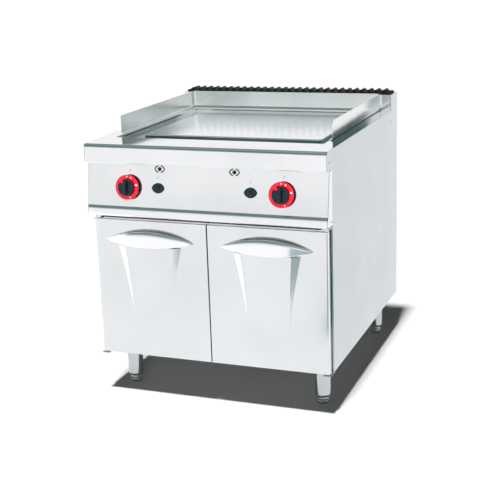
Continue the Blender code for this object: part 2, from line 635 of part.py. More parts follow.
# ---------------------------------------------------------------- grease
def drain_tube(paint):
    """The tube that drains the trough into the grease pan."""
    low, high = 0.300, TROUGH_FLOOR
    wall = turned_ring([(DRAIN_RADIUS - SHEET, low), (DRAIN_RADIUS, low), (DRAIN_RADIUS, high),
                        (DRAIN_RADIUS - SHEET, high)], 20)
    place = Matrix.Translation((DRAIN_X, y_at(DRAIN_DEPTH), 0))
    return piece("drain_tube", paint, moved(wall, place), smooth=True)


def grease_pan(paint):
    """The loose pan on the cabinet's floor that catches the grease."""
    low = BODY_BOTTOM + 2 * SHEET + 2 * GAP
    x0, x1, d0, d1, high = -0.330, -0.070, 0.090, 0.415, low + 0.100
    body = box((x0, y_at(d0), low), (x1, y_at(d1), high))
    rim = box((x0 - 0.010, y_at(d0 - 0.010), high - SHEET), (x1 + 0.010, y_at(d1 + 0.010), high))
    space = box((x0 + SHEET, y_at(d0 + SHEET), low + SHEET), (x1 - SHEET, y_at(d1 - SHEET), high + 0.1))
    lift = pivot("grease_pan_lift", ((x0 + x1) / 2, y_at((d0 + d1) / 2), low))
    return piece("grease_pan", paint, body, [rim], [space], parent=lift)


# ---------------------------------------------------------------- doors
NECK_CENTRE = (DOOR_INNER + DOOR_OUTER) / 2
HANDLE_HALF, HANDLE_Z, HANDLE_TIP, HANDLE_THICK = 0.153, 0.538, 0.985, 0.0025
NECK_TOP = 0.521


def neck_rings(side, shrink):
    """Rings of the pressed neck under a handle, each made smaller by one sheet's thickness for its hollow.
    It is widest and stands furthest out at the top, and runs out into the door's face below."""
    levels = [(0.310, 0.071, 0.071, 0.0003), (0.360, 0.0725, 0.0775, 0.0020), (0.420, 0.0755, 0.0885, 0.0048),
              (0.480, 0.080, 0.1005, 0.0079), (NECK_TOP, 0.0835, 0.1095, 0.0100)]
    rings = []
    for z, inner, outer, out in levels:
        if shrink and out < 2 * shrink:
            continue
        crest, foot = inner - shrink, outer - 1.6 * shrink
        front, back = DOOR_FACE - out + shrink, DOOR_FACE + 0.004
        section = [(-foot, back), (-foot, DOOR_FACE), (-crest, front),
                   (crest, front), (foot, DOOR_FACE), (foot, back)]
        level = z - shrink if z == NECK_TOP else z
        rings.append([(side * NECK_CENTRE + u, y_at(d), level) for u, d in section])
    return rings


def handle_depth(t, height):
    """Depth of the handle's face at t from -1 to 1 along it and height from 0 to 1 up it. Its tips lie on the
    door, where they are welded, and its upper edge curls in."""
    belly = max(1 - (t / HANDLE_TIP) ** 2, 0) ** 0.7
    return DOOR_FACE - HANDLE_THICK - GAP - 0.024 * belly + 0.004 * belly * max(2 * height - 1, 0) ** 2


def handle(side, paint, hinge):
    """A handle: a lens-shaped shell that bulges forward, open behind for the fingers."""
    thick, steps = HANDLE_THICK, 16
    rings = []
    for i in range(steps + 1):
        t = HANDLE_TIP * math.sin(math.pi / 2 * (2 * i / steps - 1))
        swell = 1 - t * t
        low, high = HANDLE_Z - 0.015 * swell, HANDLE_Z + 0.034 * swell
        x = side * NECK_CENTRE + HANDLE_HALF * t
        front = [(x, handle_depth(t, h), low + (high - low) * h) for h in (0, 0.25, 0.5, 0.75, 1)]
        ring = front + [(x, d + thick, z) for x, d, z in front[::-1]]
        rings.append([(x, y_at(d), z) for x, d, z in ring])
    return piece("handle_" + SIDE_NAMES[side], paint, loft(rings), parent=hinge, smooth=True)


def door(side, paints):
    """A door: an outer skin folded back at its edges with the neck pressed in it, a flat liner inside, and
    the handle. It turns on pins in its outer corners."""
    name = SIDE_NAMES[side]
    hinge = pivot(f"door_{name}_hinge", (side * HINGE_X, y_at(HINGE_DEPTH), 0.4))
    shell = box((side * DOOR_INNER, y_at(DOOR_FACE), DOOR_BOTTOM),
                (side * DOOR_OUTER, y_at(DOOR_BACK), DOOR_TOP))
    hollow = box((side * (DOOR_INNER + SHEET), y_at(DOOR_FACE + SHEET), DOOR_BOTTOM + SHEET),
                 (side * (DOOR_OUTER - SHEET), y_at(DOOR_BACK + 0.01), DOOR_TOP - SHEET))
    bushes = rod((side * HINGE_X, y_at(HINGE_DEPTH), DOOR_BOTTOM - 0.1),
                 (side * HINGE_X, y_at(HINGE_DEPTH), DOOR_TOP + 0.1), PIN_RADIUS + GAP)
    piece(f"door_skin_{name}", paints["steel"], shell, [loft(neck_rings(side, 0.0))],
          [hollow, loft(neck_rings(side, SHEET)), bushes], parent=hinge)
    edge = SHEET + GAP
    liner = box((side * (DOOR_INNER + edge), y_at(DOOR_BACK - SHEET), DOOR_BOTTOM + edge),
                (side * (DOOR_OUTER - edge), y_at(DOOR_BACK), DOOR_TOP - edge))
    piece(f"door_liner_{name}", paints["steel"], liner, parent=hinge)
    handle(side, paints["bright"], hinge)


def lower_hinge(side, paint):
    """The bracket under a door's outer corner, with the lower pivot pin."""
    front, back, low = 0.024, 0.070, BODY_BOTTOM - 0.007
    plate = box((side * (HINGE_X - 0.012), y_at(front), low),
                (side * (HINGE_X + 0.012), y_at(back), low + 0.003))
    riser = box((side * (HINGE_X - 0.012), y_at(SIDE_FRONT + 0.002), low),
                (side * (HINGE_X + 0.012), y_at(back), BODY_BOTTOM - GAP))
    pin = rod((side * HINGE_X, y_at(HINGE_DEPTH), low + 0.001),
              (side * HINGE_X, y_at(HINGE_DEPTH), BODY_BOTTOM + 0.008), PIN_RADIUS)
    piece("hinge_lower_" + SIDE_NAMES[side], paint, plate, [riser, pin])


def door_catch(paint):
    """The double magnetic catch behind the meeting edges of the doors."""
    body = box((-0.045, y_at(DOOR_BACK + 0.001), 0.586), (0.045, y_at(0.070), 0.600 - GAP))
    return piece("door_catch", paint, body)


# ---------------------------------------------------------------- feet
def foot(side, end, paints):
    """A leg: a tube with a mounting plate, and the screwed glide that levels the cabinet."""
    name = f"{end}_{SIDE_NAMES[side]}"
    place = Matrix.Translation((side * FOOT_X, y_at(FOOT_DEPTHS[end]), 0))
    top = BODY_BOTTOM + SHEET
    profile = [(0.0083, GLIDE_TOP), (0.0205, GLIDE_TOP), (0.0243, 0.0262), (FOOT_RADIUS, 0.031),
               (FOOT_RADIUS, top), (FOOT_RADIUS - 0.002, top), (FOOT_RADIUS - 0.002, 0.031), (0.0083, 0.0275)]
    plate = box((-0.035, -0.035, top - 0.003), (0.035, 0.035, top))
    plate_hole = rod((0, 0, top - 0.02), (0, 0, top + 0.01), FOOT_RADIUS - 0.002, 20)
    plate_ring = piece_mesh_of(plate, [], [plate_hole])
    piece(f"leg_{name}", paints["steel"], moved(turned_ring(profile), place), [moved(plate_ring, place)],
          smooth=True)
    screw = pivot(f"glide_{name}_axis", place.translation)
    shape = [(0.0165, 0.0), (0.0200, 0.0022), (GLIDE_RADIUS, 0.0060), (GLIDE_RADIUS, 0.0200),
             (0.0195, GLIDE_TOP - GAP), (0.0080, GLIDE_TOP - GAP), (0.0080, 0.075)]
    piece(f"glide_{name}", paints["steel"], moved(turned(shape), place), parent=screw, smooth=True)


# ---------------------------------------------------------------- assembly
def main():
    for old in list(bpy.data.objects):
        bpy.data.objects.remove(old)
    paints = make_finishes()
    steel, zinc = paints["steel"], paints["zinc"]
    back_panel(zinc)
    cabinet_floor(steel)
    front_rail(steel)
    worktop(steel)
    griddle_pan(steel)
    griddle_plate(paints["plate"])
    splash_guard(steel)
    flue_box(steel)
    flue_grate(paints["iron"])
    control_panel(steel)
    gas_pipe(zinc)
    burner_tray(zinc)
    drain_tube(steel)
    grease_pan(steel)
    door_catch(paints["black"])
    for side in (LEFT, RIGHT):
        side_panel(side, steel)
        side_screws(side, steel)
        knob(side, paints)
        igniter(side, paints)
        sight_tube(side, steel)
        gas_valve(side, paints["brass"])
        feed_pipe(side, paints["copper"])
        burner(side, paints["iron"])
        pilot(side, paints["brass"])
        door(side, paints)
        lower_hinge(side, paints["dark"])
        for end in FOOT_DEPTHS:
            foot(side, end, paints)


main()
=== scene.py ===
# %% [markdown]
# # A flat top griddle on a cabinet with two doors
# A gas griddle for a restaurant kitchen: a thick polished steel plate sunk in a stainless worktop, a loose
# splash guard round it, a flue with a cast grate behind it, and a control panel over two doors. Nearly all
# of it is folded stainless sheet, so most pieces here are one profile carried along a line.
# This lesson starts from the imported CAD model, keeps its places and its joints, and gives it its looks.

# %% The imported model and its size
import json
import math

import bmesh
import bpy
import numpy as np
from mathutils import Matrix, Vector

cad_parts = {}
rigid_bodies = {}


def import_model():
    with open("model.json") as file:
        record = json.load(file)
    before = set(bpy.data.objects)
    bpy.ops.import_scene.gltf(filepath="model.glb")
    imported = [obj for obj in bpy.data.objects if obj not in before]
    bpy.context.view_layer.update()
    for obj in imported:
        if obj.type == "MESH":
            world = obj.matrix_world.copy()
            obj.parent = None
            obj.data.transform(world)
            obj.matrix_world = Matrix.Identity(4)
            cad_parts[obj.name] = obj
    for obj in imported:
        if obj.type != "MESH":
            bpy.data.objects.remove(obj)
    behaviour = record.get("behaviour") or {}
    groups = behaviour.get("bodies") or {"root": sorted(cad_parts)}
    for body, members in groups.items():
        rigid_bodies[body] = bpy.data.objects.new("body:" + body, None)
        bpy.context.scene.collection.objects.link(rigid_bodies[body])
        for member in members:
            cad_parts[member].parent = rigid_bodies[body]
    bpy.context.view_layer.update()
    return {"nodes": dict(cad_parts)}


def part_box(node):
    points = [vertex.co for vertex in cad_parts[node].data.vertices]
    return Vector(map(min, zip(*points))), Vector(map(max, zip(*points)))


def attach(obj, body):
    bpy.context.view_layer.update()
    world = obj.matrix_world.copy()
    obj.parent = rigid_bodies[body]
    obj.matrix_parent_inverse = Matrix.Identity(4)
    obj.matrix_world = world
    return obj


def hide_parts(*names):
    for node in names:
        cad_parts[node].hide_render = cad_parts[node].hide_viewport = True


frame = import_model()

# %% [markdown]
# ## The plan's numbers
# A maker counts depths from the front of the worktop, so this lesson does too. The worktop's box gives the
# place where that count starts. The other numbers are the sheet metal drawing's own, in metres. GAP is the
# clearance that the drawing leaves between two pieces.

# %% Depths, heights and thicknesses
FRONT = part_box("worktop")[0][1]
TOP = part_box("worktop")[1][2]
HALF = 0.400
SHEET, TOP_SHEET, GAP = 0.0015, 0.002, 0.0003
INSIDE = HALF - SHEET - GAP
LEFT, RIGHT = -1, 1
SIDES = {"left": LEFT, "right": RIGHT}


def y_at(depth):
    """Y of a depth: the front of the worktop plus the depth."""
    return FRONT + depth


print("front of the worktop at y =", round(FRONT, 4), "and its top at z =", round(TOP, 4))

# %% [markdown]
# ## The camera
# A product is shown from a few metres away through a long lens, so that its sides hardly converge. The
# camera stands to the right and a little above the worktop, and looks down at the middle of the doors. Its
# place, its three turns and its lens were solved together from the corners of the griddle. The lens isn't
# shifted, so the griddle stays in the middle when another view turns the camera round it.

# %% Camera
scene = bpy.context.scene
camera_data = bpy.data.cameras.new("camera")
camera_data.sensor_width = 36.0
camera_data.lens = 81.98
camera = bpy.data.objects.new("camera", camera_data)
camera.location = (1.2985, -3.4446, 1.4438)
camera.rotation_euler = [math.radians(a) for a in (74.824, 1.9457, 20.869)]
scene.collection.objects.link(camera)
scene.camera = camera
print("camera:", round(camera_data.lens), "mm lens,", round(camera.location.length, 2), "m from the origin")

# %% [markdown]
# ## The studio
# Polished steel shows little of its own colour. It shows the room. The room here is what a catalogue studio
# is: a white floor that runs on without an edge, white walls, and a grey-green ceiling. The white walls make
# the doors nearly white, and the ceiling makes the dark band in every rounded edge. The room could be built
# from walls with lamps on them, but a background whose colour depends only on the direction is simpler and
# has no noise.


# %% Colour and node helpers
def linear(code):
    """Linear RGBA of an sRGB hex code: c / 12.92 up to 0.04045, and ((c + 0.055) / 1.055) ^ 2.4 above."""
    c = np.array([int(code[i:i + 2], 16) for i in (0, 2, 4)]) / 255
    return (*(float(v) for v in np.where(c <= 0.04045, c / 12.92, ((c + 0.055) / 1.055) ** 2.4)), 1.0)


def node(tree, kind, inputs=None, stops=(), **settings):
    """Adds a node, sets its own settings, and sets or links each named input. A colour ramp has stops too:
    a position and a hex code each."""
    made = tree.nodes.new(kind)
    for _ in stops[2:]:
        made.color_ramp.elements.new(0.5)
    for element, (place, code) in zip(made.color_ramp.elements if stops else (), stops):
        element.position, element.color = place, linear(code)
    for name, value in settings.items():
        setattr(made, name, value)
    for name, value in (inputs or {}).items():
        if isinstance(value, bpy.types.NodeSocket):
            tree.links.new(value, made.inputs[name])
        else:
            made.inputs[name].default_value = value
    return made


print("a middle grey in linear light:", round(linear("808080")[0], 3))

# %% [markdown]
# The room is white up to the ceiling's edge. In front, to the left, the ceiling starts lower and the wall
# below it is shaded, which gives the left parts of the doors and the panel their soft grey. The height of a
# direction picks a colour from each of two ramps, and how far the direction looks to the front left mixes
# them. For soft light on the floor the room is dimmed to an eighth, so that the lamps draw the shadow.

# %% Walls and ceiling
room = bpy.data.worlds.new("studio")
room.use_nodes = True
scene.world = room
tree = room.node_tree
way = node(tree, "ShaderNodeTexCoord").outputs["Generated"]
split = node(tree, "ShaderNodeSeparateXYZ", {"Vector": way})
height = node(tree, "ShaderNodeMapRange", {"Value": split.outputs["Z"], "From Min": -1.0, "From Max": 1.0})
ceiling = [(0.86, "6C827E"), (0.95, "8A9D99"), (1.0, "9DADAA")]
by_height = node(tree, "ShaderNodeValToRGB", {"Fac": height.outputs["Result"]}, [
    (0.0, "FFFFFF"), (0.66, "FFFFFF"), (0.72, "D9DFE0"), (0.80, "6C827E"), *ceiling])
in_front = node(tree, "ShaderNodeValToRGB", {"Fac": height.outputs["Result"]}, [
    (0.0, "FFFFFF"), (0.53, "FFFFFF"), (0.59, "EFF2F2"), (0.66, "A6B1B1"), (0.74, "6C827E"), *ceiling])
facing = node(tree, "ShaderNodeMapRange", {"Value": split.outputs["Y"], "From Min": 0.15, "From Max": -0.15})
leftward = node(tree, "ShaderNodeMapRange", {"Value": split.outputs["X"], "From Min": 0.2, "From Max": -0.1})
corner_dark = node(tree, "ShaderNodeMath", {0: facing.outputs["Result"], 1: leftward.outputs["Result"]},
                   operation="MULTIPLY")
walls = node(tree, "ShaderNodeMix", {"Factor": corner_dark.outputs["Value"]}, data_type="RGBA")
tree.links.new(by_height.outputs["Color"], walls.inputs[6])
tree.links.new(in_front.outputs["Color"], walls.inputs[7])
tree.links.new(walls.outputs[2], tree.nodes["Background"].inputs["Color"])
rays = node(tree, "ShaderNodeLightPath")
dimmed = node(tree, "ShaderNodeMapRange",
              {"Value": rays.outputs["Is Diffuse Ray"], "To Min": 1.0, "To Max": 0.12})
tree.links.new(dimmed.outputs["Result"], tree.nodes["Background"].inputs["Strength"])
print("room:", len(tree.nodes), "nodes, white walls and a dark ceiling")

# %% [markdown]
# The floor is a large sheet of pale paper. The ceiling lamp stands nearly overhead and draws the sharp, dark
# footprint under the cabinet. A weak lamp in front fills the knobs and the legs. Neither shows in the steel.
# Three cards do: a grey one low in front shades the foot of the doors, a white one by the left front corner
# brightens the edges, and a dark one behind on the right gives the guard and the upper side their tone.
# Cards are plain boards that stand just out of the camera's sight.


# %% Floor
def finish(name, colour, roughness, metallic=0.0, **extra):
    """A new material with its constants set on the shader's own sockets. Returns it, its tree and its
    shader. In extra, a socket's name has underscores for spaces."""
    made = bpy.data.materials.new(name)
    made.use_nodes = True
    shader = made.node_tree.nodes["Principled BSDF"]
    shader.inputs["Base Color"].default_value = linear(colour)
    shader.inputs["Roughness"].default_value = roughness
    shader.inputs["Metallic"].default_value = metallic
    for socket, value in extra.items():
        shader.inputs[socket.replace("_", " ")].default_value = value
    return made, made.node_tree, shader


floor_mesh = bpy.data.meshes.new("floor")
floor_mesh.from_pydata([(-60, -60, 0), (60, -60, 0), (60, 60, 0), (-60, 60, 0)], [], [(0, 1, 2, 3)])
floor = bpy.data.objects.new("floor", floor_mesh)
scene.collection.objects.link(floor)
floor_mesh.materials.append(finish("pale_paper_floor", "A8A8A8", 0.9, Specular_IOR_Level=0.0)[0])
print("floor:", [m.name for m in floor_mesh.materials])

# %% Lamps and cards
for name, power, tilt, turn in (("ceiling_lamp", 8.4, 16, 0), ("front_fill", 1.5, 84, 20)):
    lamp = bpy.data.lights.new(name, "SUN")
    lamp.energy, lamp.angle = power, math.radians(5)
    holder = bpy.data.objects.new(name, lamp)
    holder.rotation_euler = [math.radians(a) for a in (tilt, 0, turn)]
    holder.visible_glossy = False
    scene.collection.objects.link(holder)


def card(name, corners, code, strength=1.0):
    """A plain card with four corners that glows in one colour and shows only in reflections."""
    mesh = bpy.data.meshes.new(name)
    mesh.from_pydata(corners, [], [(0, 1, 2, 3)])
    glow = finish(name, "000000", 0.5, Emission_Color=linear(code), Emission_Strength=strength)[0]
    mesh.materials.append(glow)
    stood = bpy.data.objects.new(name, mesh)
    stood.visible_camera = stood.visible_shadow = stood.visible_diffuse = False
    scene.collection.objects.link(stood)


card("grey_card_front", [(0.19, -1.03, 0.05), (1.2, -1.03, 0.05), (1.25, -1.45, 0.7), (0.28, -1.45, 0.7)],
     "A9B6BA")
card("white_card_left", [(-0.56, -0.46, 0), (-0.56, -0.70, 0), (-0.56, -0.70, 0.75), (-0.56, -0.46, 0.75)],
     "FFFFFF", 1.4)
card("dark_card_rear", [(0.45, 1.7, 0.78), (1.9, 1.7, 0.78), (1.9, 1.7, 1.8), (0.45, 1.7, 1.8)], "35504F")
scene.view_settings.view_transform = "Standard"
print("lamps and cards:", [o.name for o in scene.objects if o.name.endswith(("lamp", "fill"))
                           or "_card_" in o.name])

# %% [markdown]
# ## Stainless steel, brushed and polished
# The sheet is 1.4301 stainless with a fine brushed finish. Up close that is millions of scratches, all in
# one direction, about 0.05 mm wide and some centimetres long. They blur a reflection across the scratches
# and leave it sharp along them. Three noises give the eye the same: one stretched along the grain makes the
# scratches in the bump and the roughness, one larger than a hand makes the sheet slightly wavy, as every
# thin sheet is, and one shifts its shade a little. Real scratches are too fine to show, so they are drawn
# 0.5 mm wide. Each finish below gives its grain's size along X, Y and Z in mm, two shades, the range of its
# roughness, and how deep its scratches and its waves are, in metres. The roughness is that of the real
# finish: 0.1 for a polish, 0.3 for a pressed matt sheet, 0.4 for zinc.


# %% Patterns of a real size
def spots(tree, size_mm, detail=3.0, roughness=0.55):
    """A noise whose features have a size in mm along X, Y and Z of the object's own coordinates."""
    place = node(tree, "ShaderNodeTexCoord").outputs["Object"]
    stretch = node(tree, "ShaderNodeMapping", {"Vector": place, "Scale": [1000.0 / s for s in size_mm]})
    made = node(tree, "ShaderNodeTexNoise", {"Vector": stretch.outputs["Vector"], "Scale": 1.0,
                                             "Detail": detail, "Roughness": roughness})
    return made.outputs["Fac"]


def clouded(tree, shader, patch, shades, grain, roughness):
    """Links a finish's colour, which goes from shade to shade with the patches, and its roughness, which
    goes from low to high with the grain. A noise hardly leaves 0.3 to 0.7, so both use just that range."""
    colour = node(tree, "ShaderNodeValToRGB", {"Fac": patch}, [(0.3, shades[0]), (0.7, shades[1])])
    rough = node(tree, "ShaderNodeMapRange", {"Value": grain, "From Min": 0.3, "From Max": 0.7,
                                              "To Min": roughness[0], "To Max": roughness[1]})
    tree.links.new(colour.outputs["Color"], shader.inputs["Base Color"])
    tree.links.new(rough.outputs["Result"], shader.inputs["Roughness"])


def steel(name, size_mm, shades, roughness, scratch, wave):
    """Brushed sheet: scratches of that size, a colour between two shades, and a slow wave, both as bump."""
    made, tree, shader = finish(name, shades[1], roughness[0], metallic=1.0)
    grain = spots(tree, size_mm, detail=4.0, roughness=0.6)
    clouded(tree, shader, spots(tree, (180.0,) * 3, detail=2.0), shades, grain, roughness)
    slow = spots(tree, (260.0,) * 3, detail=1.0)
    waves = node(tree, "ShaderNodeBump", {"Height": slow, "Strength": 1.0, "Distance": wave})
    lines = node(tree, "ShaderNodeBump", {"Height": grain, "Strength": 1.0, "Distance": scratch,
                                          "Normal": waves.outputs["Normal"]})
    tree.links.new(lines.outputs["Normal"], shader.inputs["Normal"])
    return made


# %% The steels
STEEL_ACROSS = steel("stainless_brushed_across", (60.0, 0.5, 0.5), ("E6E8EA", "EEEFF1"), (0.09, 0.14),
                     0.000003, 0.0001)
# The doors' sheet is the worktop's steel in darker shades: that darker colour is painted shade.
STEEL_DOOR_PAINTED_SHADE = steel("stainless_door_sheet_painted_shade", (60.0, 0.5, 0.5), ("DFE1E3", "E6E8EA"), (0.11, 0.16),
                   0.000003, 0.0001)
STEEL_PAN = steel("stainless_pressed_matt", (0.5, 30.0, 0.5), ("E4E8E9", "F0F2F3"), (0.26, 0.36),
                  0.000003, 0.0001)
STEEL_DEEP = steel("stainless_brushed_front_to_back", (0.5, 60.0, 0.5), ("E3E7E6", "ECEFEE"), (0.15, 0.23),
                   0.000003, 0.0001)
# The side panels' sheet is the same stainless made darker: painted shade for the side away from the light.
STEEL_SIDE_PAINTED_SHADE = steel("stainless_side_sheet_painted_shade", (0.5, 60.0, 0.5), ("BBC3C6", "C3CACD"), (0.13, 0.20),
                    0.000003, 0.0002)
STEEL_BRIGHT = steel("stainless_polished_handle", (40.0, 0.8, 0.8), ("F5F5F9", "FBFBFD"), (0.11, 0.15),
                     0.000001, 0.0)
STEEL_PLATE = steel("griddle_plate_ground_and_polished", (120.0, 1.2, 1.2), ("EEF1F6", "F7F9FC"),
                    (0.14, 0.19), 0.000002, 0.0001)
# The plate's sides are rougher, as milled steel is, but their dark teal colour is painted shade.
PLATE_SIDE_PAINTED_SHADE = steel("plate_edge_milled_painted_shade", (30.0, 30.0, 0.8), ("62787A", "7A8C8E"), (0.24, 0.34), 0.00001, 0.0)
# The tube is the same stainless made darker: painted shade for the legs and fittings under the cabinet.
STEEL_TUBE_PAINTED_SHADE = steel("stainless_tube_painted_shade", (0.6, 0.6, 30.0), ("B4B9BA", "CDD1D2"), (0.14, 0.22), 0.000003, 0.0)
STEEL_ZINC = steel("galvanised_sheet", (14.0, 14.0, 14.0), ("A3ABAD", "B4BBBD"), (0.34, 0.44), 0.00001,
                   0.0001)
print("steels:", [m.name for m in bpy.data.materials if m.name.startswith(("stainless", "griddle", "galv"))])

# %% [markdown]
# ## Cast iron, brass, copper, plastic, rubber and print
# The grate and the burners are sand cast, so they are dull, nearly black and pitted at the size of the sand,
# about 0.8 mm. The valves are machined brass, the feed pipes drawn copper that has browned. The knobs are
# moulded ABS with a fine satin texture that leaves a soft grey gloss on black. The dial is printed and
# lacquered, so its red is deep and glossy. The bezels are moulded rubber, which is a little duller than ABS.
# The signs are screen prints in white, black and grey ink, which dries matt.


# %% The other finishes
def mottled(name, shades, roughness, metallic, grain_mm, relief, **extra):
    """A cast, moulded or drawn surface: its colour, roughness and bump follow one even noise."""
    made, tree, shader = finish(name, shades[1], roughness[0], metallic=metallic, **extra)
    grain = spots(tree, (grain_mm,) * 3, detail=4.0)
    patch = spots(tree, (grain_mm * 18,) * 3, detail=2.0)
    clouded(tree, shader, patch, shades, grain, roughness)
    bump = node(tree, "ShaderNodeBump", {"Height": grain, "Strength": 1.0, "Distance": relief})
    tree.links.new(bump.outputs["Normal"], shader.inputs["Normal"])
    return made


CAST_IRON = mottled("sand_cast_iron_blackened", ("020307", "06070C"), (0.42, 0.6), 0.0, 0.8, 0.00004,
                    Specular_IOR_Level=0.3)
BRASS = mottled("machined_brass", ("A8894A", "C9A75C"), (0.22, 0.36), 1.0, 1.5, 0.00001)
COPPER = mottled("drawn_copper", ("8E5238", "BC7350"), (0.25, 0.4), 1.0, 2.0, 0.00001)
ABS_BLACK = mottled("black_abs_satin", ("04121A", "081C26"), (0.24, 0.34), 0.0, 0.5, 0.000006,
                    Specular_IOR_Level=0.4)
RUBBER = mottled("black_rubber_moulded", ("06151D", "0B2029"), (0.36, 0.48), 0.0, 0.6, 0.00001,
                 Specular_IOR_Level=0.4)
DIAL_RED = mottled("red_dial_lacquered", ("F00E28", "FA1630"), (0.16, 0.24), 0.0, 0.7, 0.000003)
PRINT_WHITE = mottled("white_screen_print", ("F0F0EE", "FFFFFF"), (0.4, 0.5), 0.0, 0.4, 0.000004)
PRINT_BLACK = mottled("black_screen_print", ("08090A", "101214"), (0.4, 0.5), 0.0, 0.4, 0.000004)
PRINT_GREY = mottled("grey_screen_print", ("9BA3A5", "ABB2B4"), (0.4, 0.5), 0.0, 0.4, 0.000004)
print("other finishes:", len(bpy.data.materials), "materials in all")

# %% [markdown]
# ## From numbers to a mesh
# Every new piece is one or more grids of points, worked out as whole arrays. A grid has rows and columns;
# its quads join neighbours, and a row or column can also join back to the first, as in a tube. One function
# puts grids into a mesh, merges the points that fall together, turns the faces outwards, hangs the piece on
# the body it rides on and hides the CAD solids it stands for. The pieces could be drawn by hand in edit mode,
# but numbers keep each bend's radius, and a changed size is changed in one place.


# %% Grids into pieces
def quads(rows, columns, around, along):
    """Corner numbers of a grid's quads. around joins the last column to the first, along the last row."""
    i = np.arange(rows if along else rows - 1)[:, None]
    j = np.arange(columns if around else columns - 1)[None, :]
    k, m = (i + 1) % rows, (j + 1) % columns
    corners = (i * columns + j, i * columns + m, k * columns + m, k * columns + j)
    return np.stack(np.broadcast_arrays(*corners), axis=-1)


def sheet_of(points, around=False, along=False, keep=None):
    """A grid of points with its quads, less the cells where keep is false."""
    points = np.asarray(points, float)
    cells = quads(points.shape[0], points.shape[1], around, along)
    cells = cells.reshape(-1, 4) if keep is None else cells[keep]
    return points.reshape(-1, 3), cells


def fan(ring):
    """A cap on a ring: the ring itself, and its middle as many times, which merge to one point."""
    ring = np.asarray(ring, float)
    return sheet_of(np.stack([ring, np.broadcast_to(ring.mean(axis=0), ring.shape)]), around=True)


def make(name, sheets, body, finish_used, stands_for=(), sharp=32, outward=None):
    """Puts sheets into one piece. A closed piece has its faces turned outwards. An open one is turned as a
    whole, so that its first face looks along outward."""
    start, points, faces = 0, [], []
    for some_points, some_faces in sheets:
        points.append(some_points)
        faces.append(some_faces + start)
        start += len(some_points)
    mesh = bpy.data.meshes.new(name)
    mesh.from_pydata(np.concatenate(points).tolist(), [], np.concatenate(faces).tolist())
    work = bmesh.new()
    work.from_mesh(mesh)
    bmesh.ops.remove_doubles(work, verts=work.verts, dist=2e-6)
    bmesh.ops.dissolve_degenerate(work, edges=work.edges, dist=1e-6)
    bmesh.ops.recalc_face_normals(work, faces=work.faces)
    if outward is not None:
        work.faces.ensure_lookup_table()
        work.normal_update()
        tally = sum(f.normal.dot(outward) * f.calc_area() for f in work.faces)
        if tally < 0:
            bmesh.ops.reverse_faces(work, faces=work.faces)
    work.to_mesh(mesh)
    work.free()
    mesh.shade_smooth()
    mesh.set_sharp_from_angle(angle=math.radians(sharp))
    mesh.materials.append(finish_used)
    piece = bpy.data.objects.new(name, mesh)
    scene.collection.objects.link(piece)
    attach(piece, body)
    if stands_for:
        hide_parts(*stands_for)
    print(f"{name}: {len(mesh.polygons)} faces on {body}")
    return piece


def wall(piece, thickness, sharp=32):
    """Gives an open sheet its thickness, on the side away from its normals, and keeps its new rim sharp."""
    made = piece.modifiers.new("wall", "SOLIDIFY")
    made.thickness, made.offset, made.use_even_offset = thickness, -1.0, True
    seen = piece.evaluated_get(bpy.context.evaluated_depsgraph_get())
    thick = bpy.data.meshes.new_from_object(seen)
    thick.name = piece.name
    piece.modifiers.clear()
    piece.data = thick
    thick.shade_smooth()
    thick.set_sharp_from_angle(angle=math.radians(sharp))
    return piece


# %% Lines, bends and turned shapes
def arc(centre, radius, start, stop, steps):
    """Points on a circle's arc, from one angle to another in degrees."""
    a = np.radians(np.linspace(start, stop, steps + 1))
    return np.stack([centre[0] + radius * np.cos(a), centre[1] + radius * np.sin(a)], axis=1)


def bent_sheet(line, thickness):
    """Closed outline of a bent sheet: one face's line, and the same line moved sideways by one thickness.
    At a corner it moves along the sum of the two normals, over one plus their product, which is a mitre."""
    line = np.asarray(line, float)
    run = np.diff(line, axis=0)
    run /= np.linalg.norm(run, axis=1)[:, None]
    side = np.stack([-run[:, 1], run[:, 0]], axis=1)
    before, after = np.vstack([side[:1], side]), np.vstack([side, side[-1:]])
    other = line + (before + after) * (thickness / (1 + (before * after).sum(axis=1)))[:, None]
    return np.vstack([line, other[::-1]])


def carried(profile, xs):
    """A profile of (depth, z) points carried along X: the same profile at every x."""
    profile, xs = np.asarray(profile, float), np.asarray(xs, float)
    grid = np.empty((len(xs), len(profile), 3))
    grid[..., 0] = xs[:, None]
    grid[..., 1] = y_at(profile[None, :, 0])
    grid[..., 2] = profile[None, :, 1]
    return grid


def turned(profile, sides=48):
    """A profile of (radius, z) points turned about Z: x and y are the radius times cosine and sine."""
    profile = np.asarray(profile, float)
    a = np.linspace(0, 2 * np.pi, sides, endpoint=False)
    grid = np.empty((len(profile), sides, 3))
    grid[..., 0] = profile[:, :1] * np.cos(a)
    grid[..., 1] = profile[:, :1] * np.sin(a)
    grid[..., 2] = profile[:, 1:]
    return grid


def rounded_rectangle(half, low, high, radius, steps=6):
    """Outline of a rectangle with round corners, as (x, depth) points."""
    corners = [((half - radius, high - radius), 0), ((radius - half, high - radius), 90),
               ((radius - half, low + radius), 180), ((half - radius, low + radius), 270)]
    return np.vstack([arc(centre, radius, start, start + 90, steps) for centre, start in corners])


def levels(rings):
    """A stack of (x, depth) outlines, each at its own height."""
    return np.stack([np.column_stack([r[:, 0], y_at(r[:, 1]), np.full(len(r), z)]) for r, z in rings])

# %% [markdown]
# ## The worktop
# One sheet 2 mm thick: flat on top, rolled over a bar in front, down as a fascia and folded back underneath.
# It could be a box with a bevel, but then its edge would be too tight. The profile has the real roll, 12.5
# mm in radius, and is carried across. The cell over the griddle is left out, as the laser cuts it out.

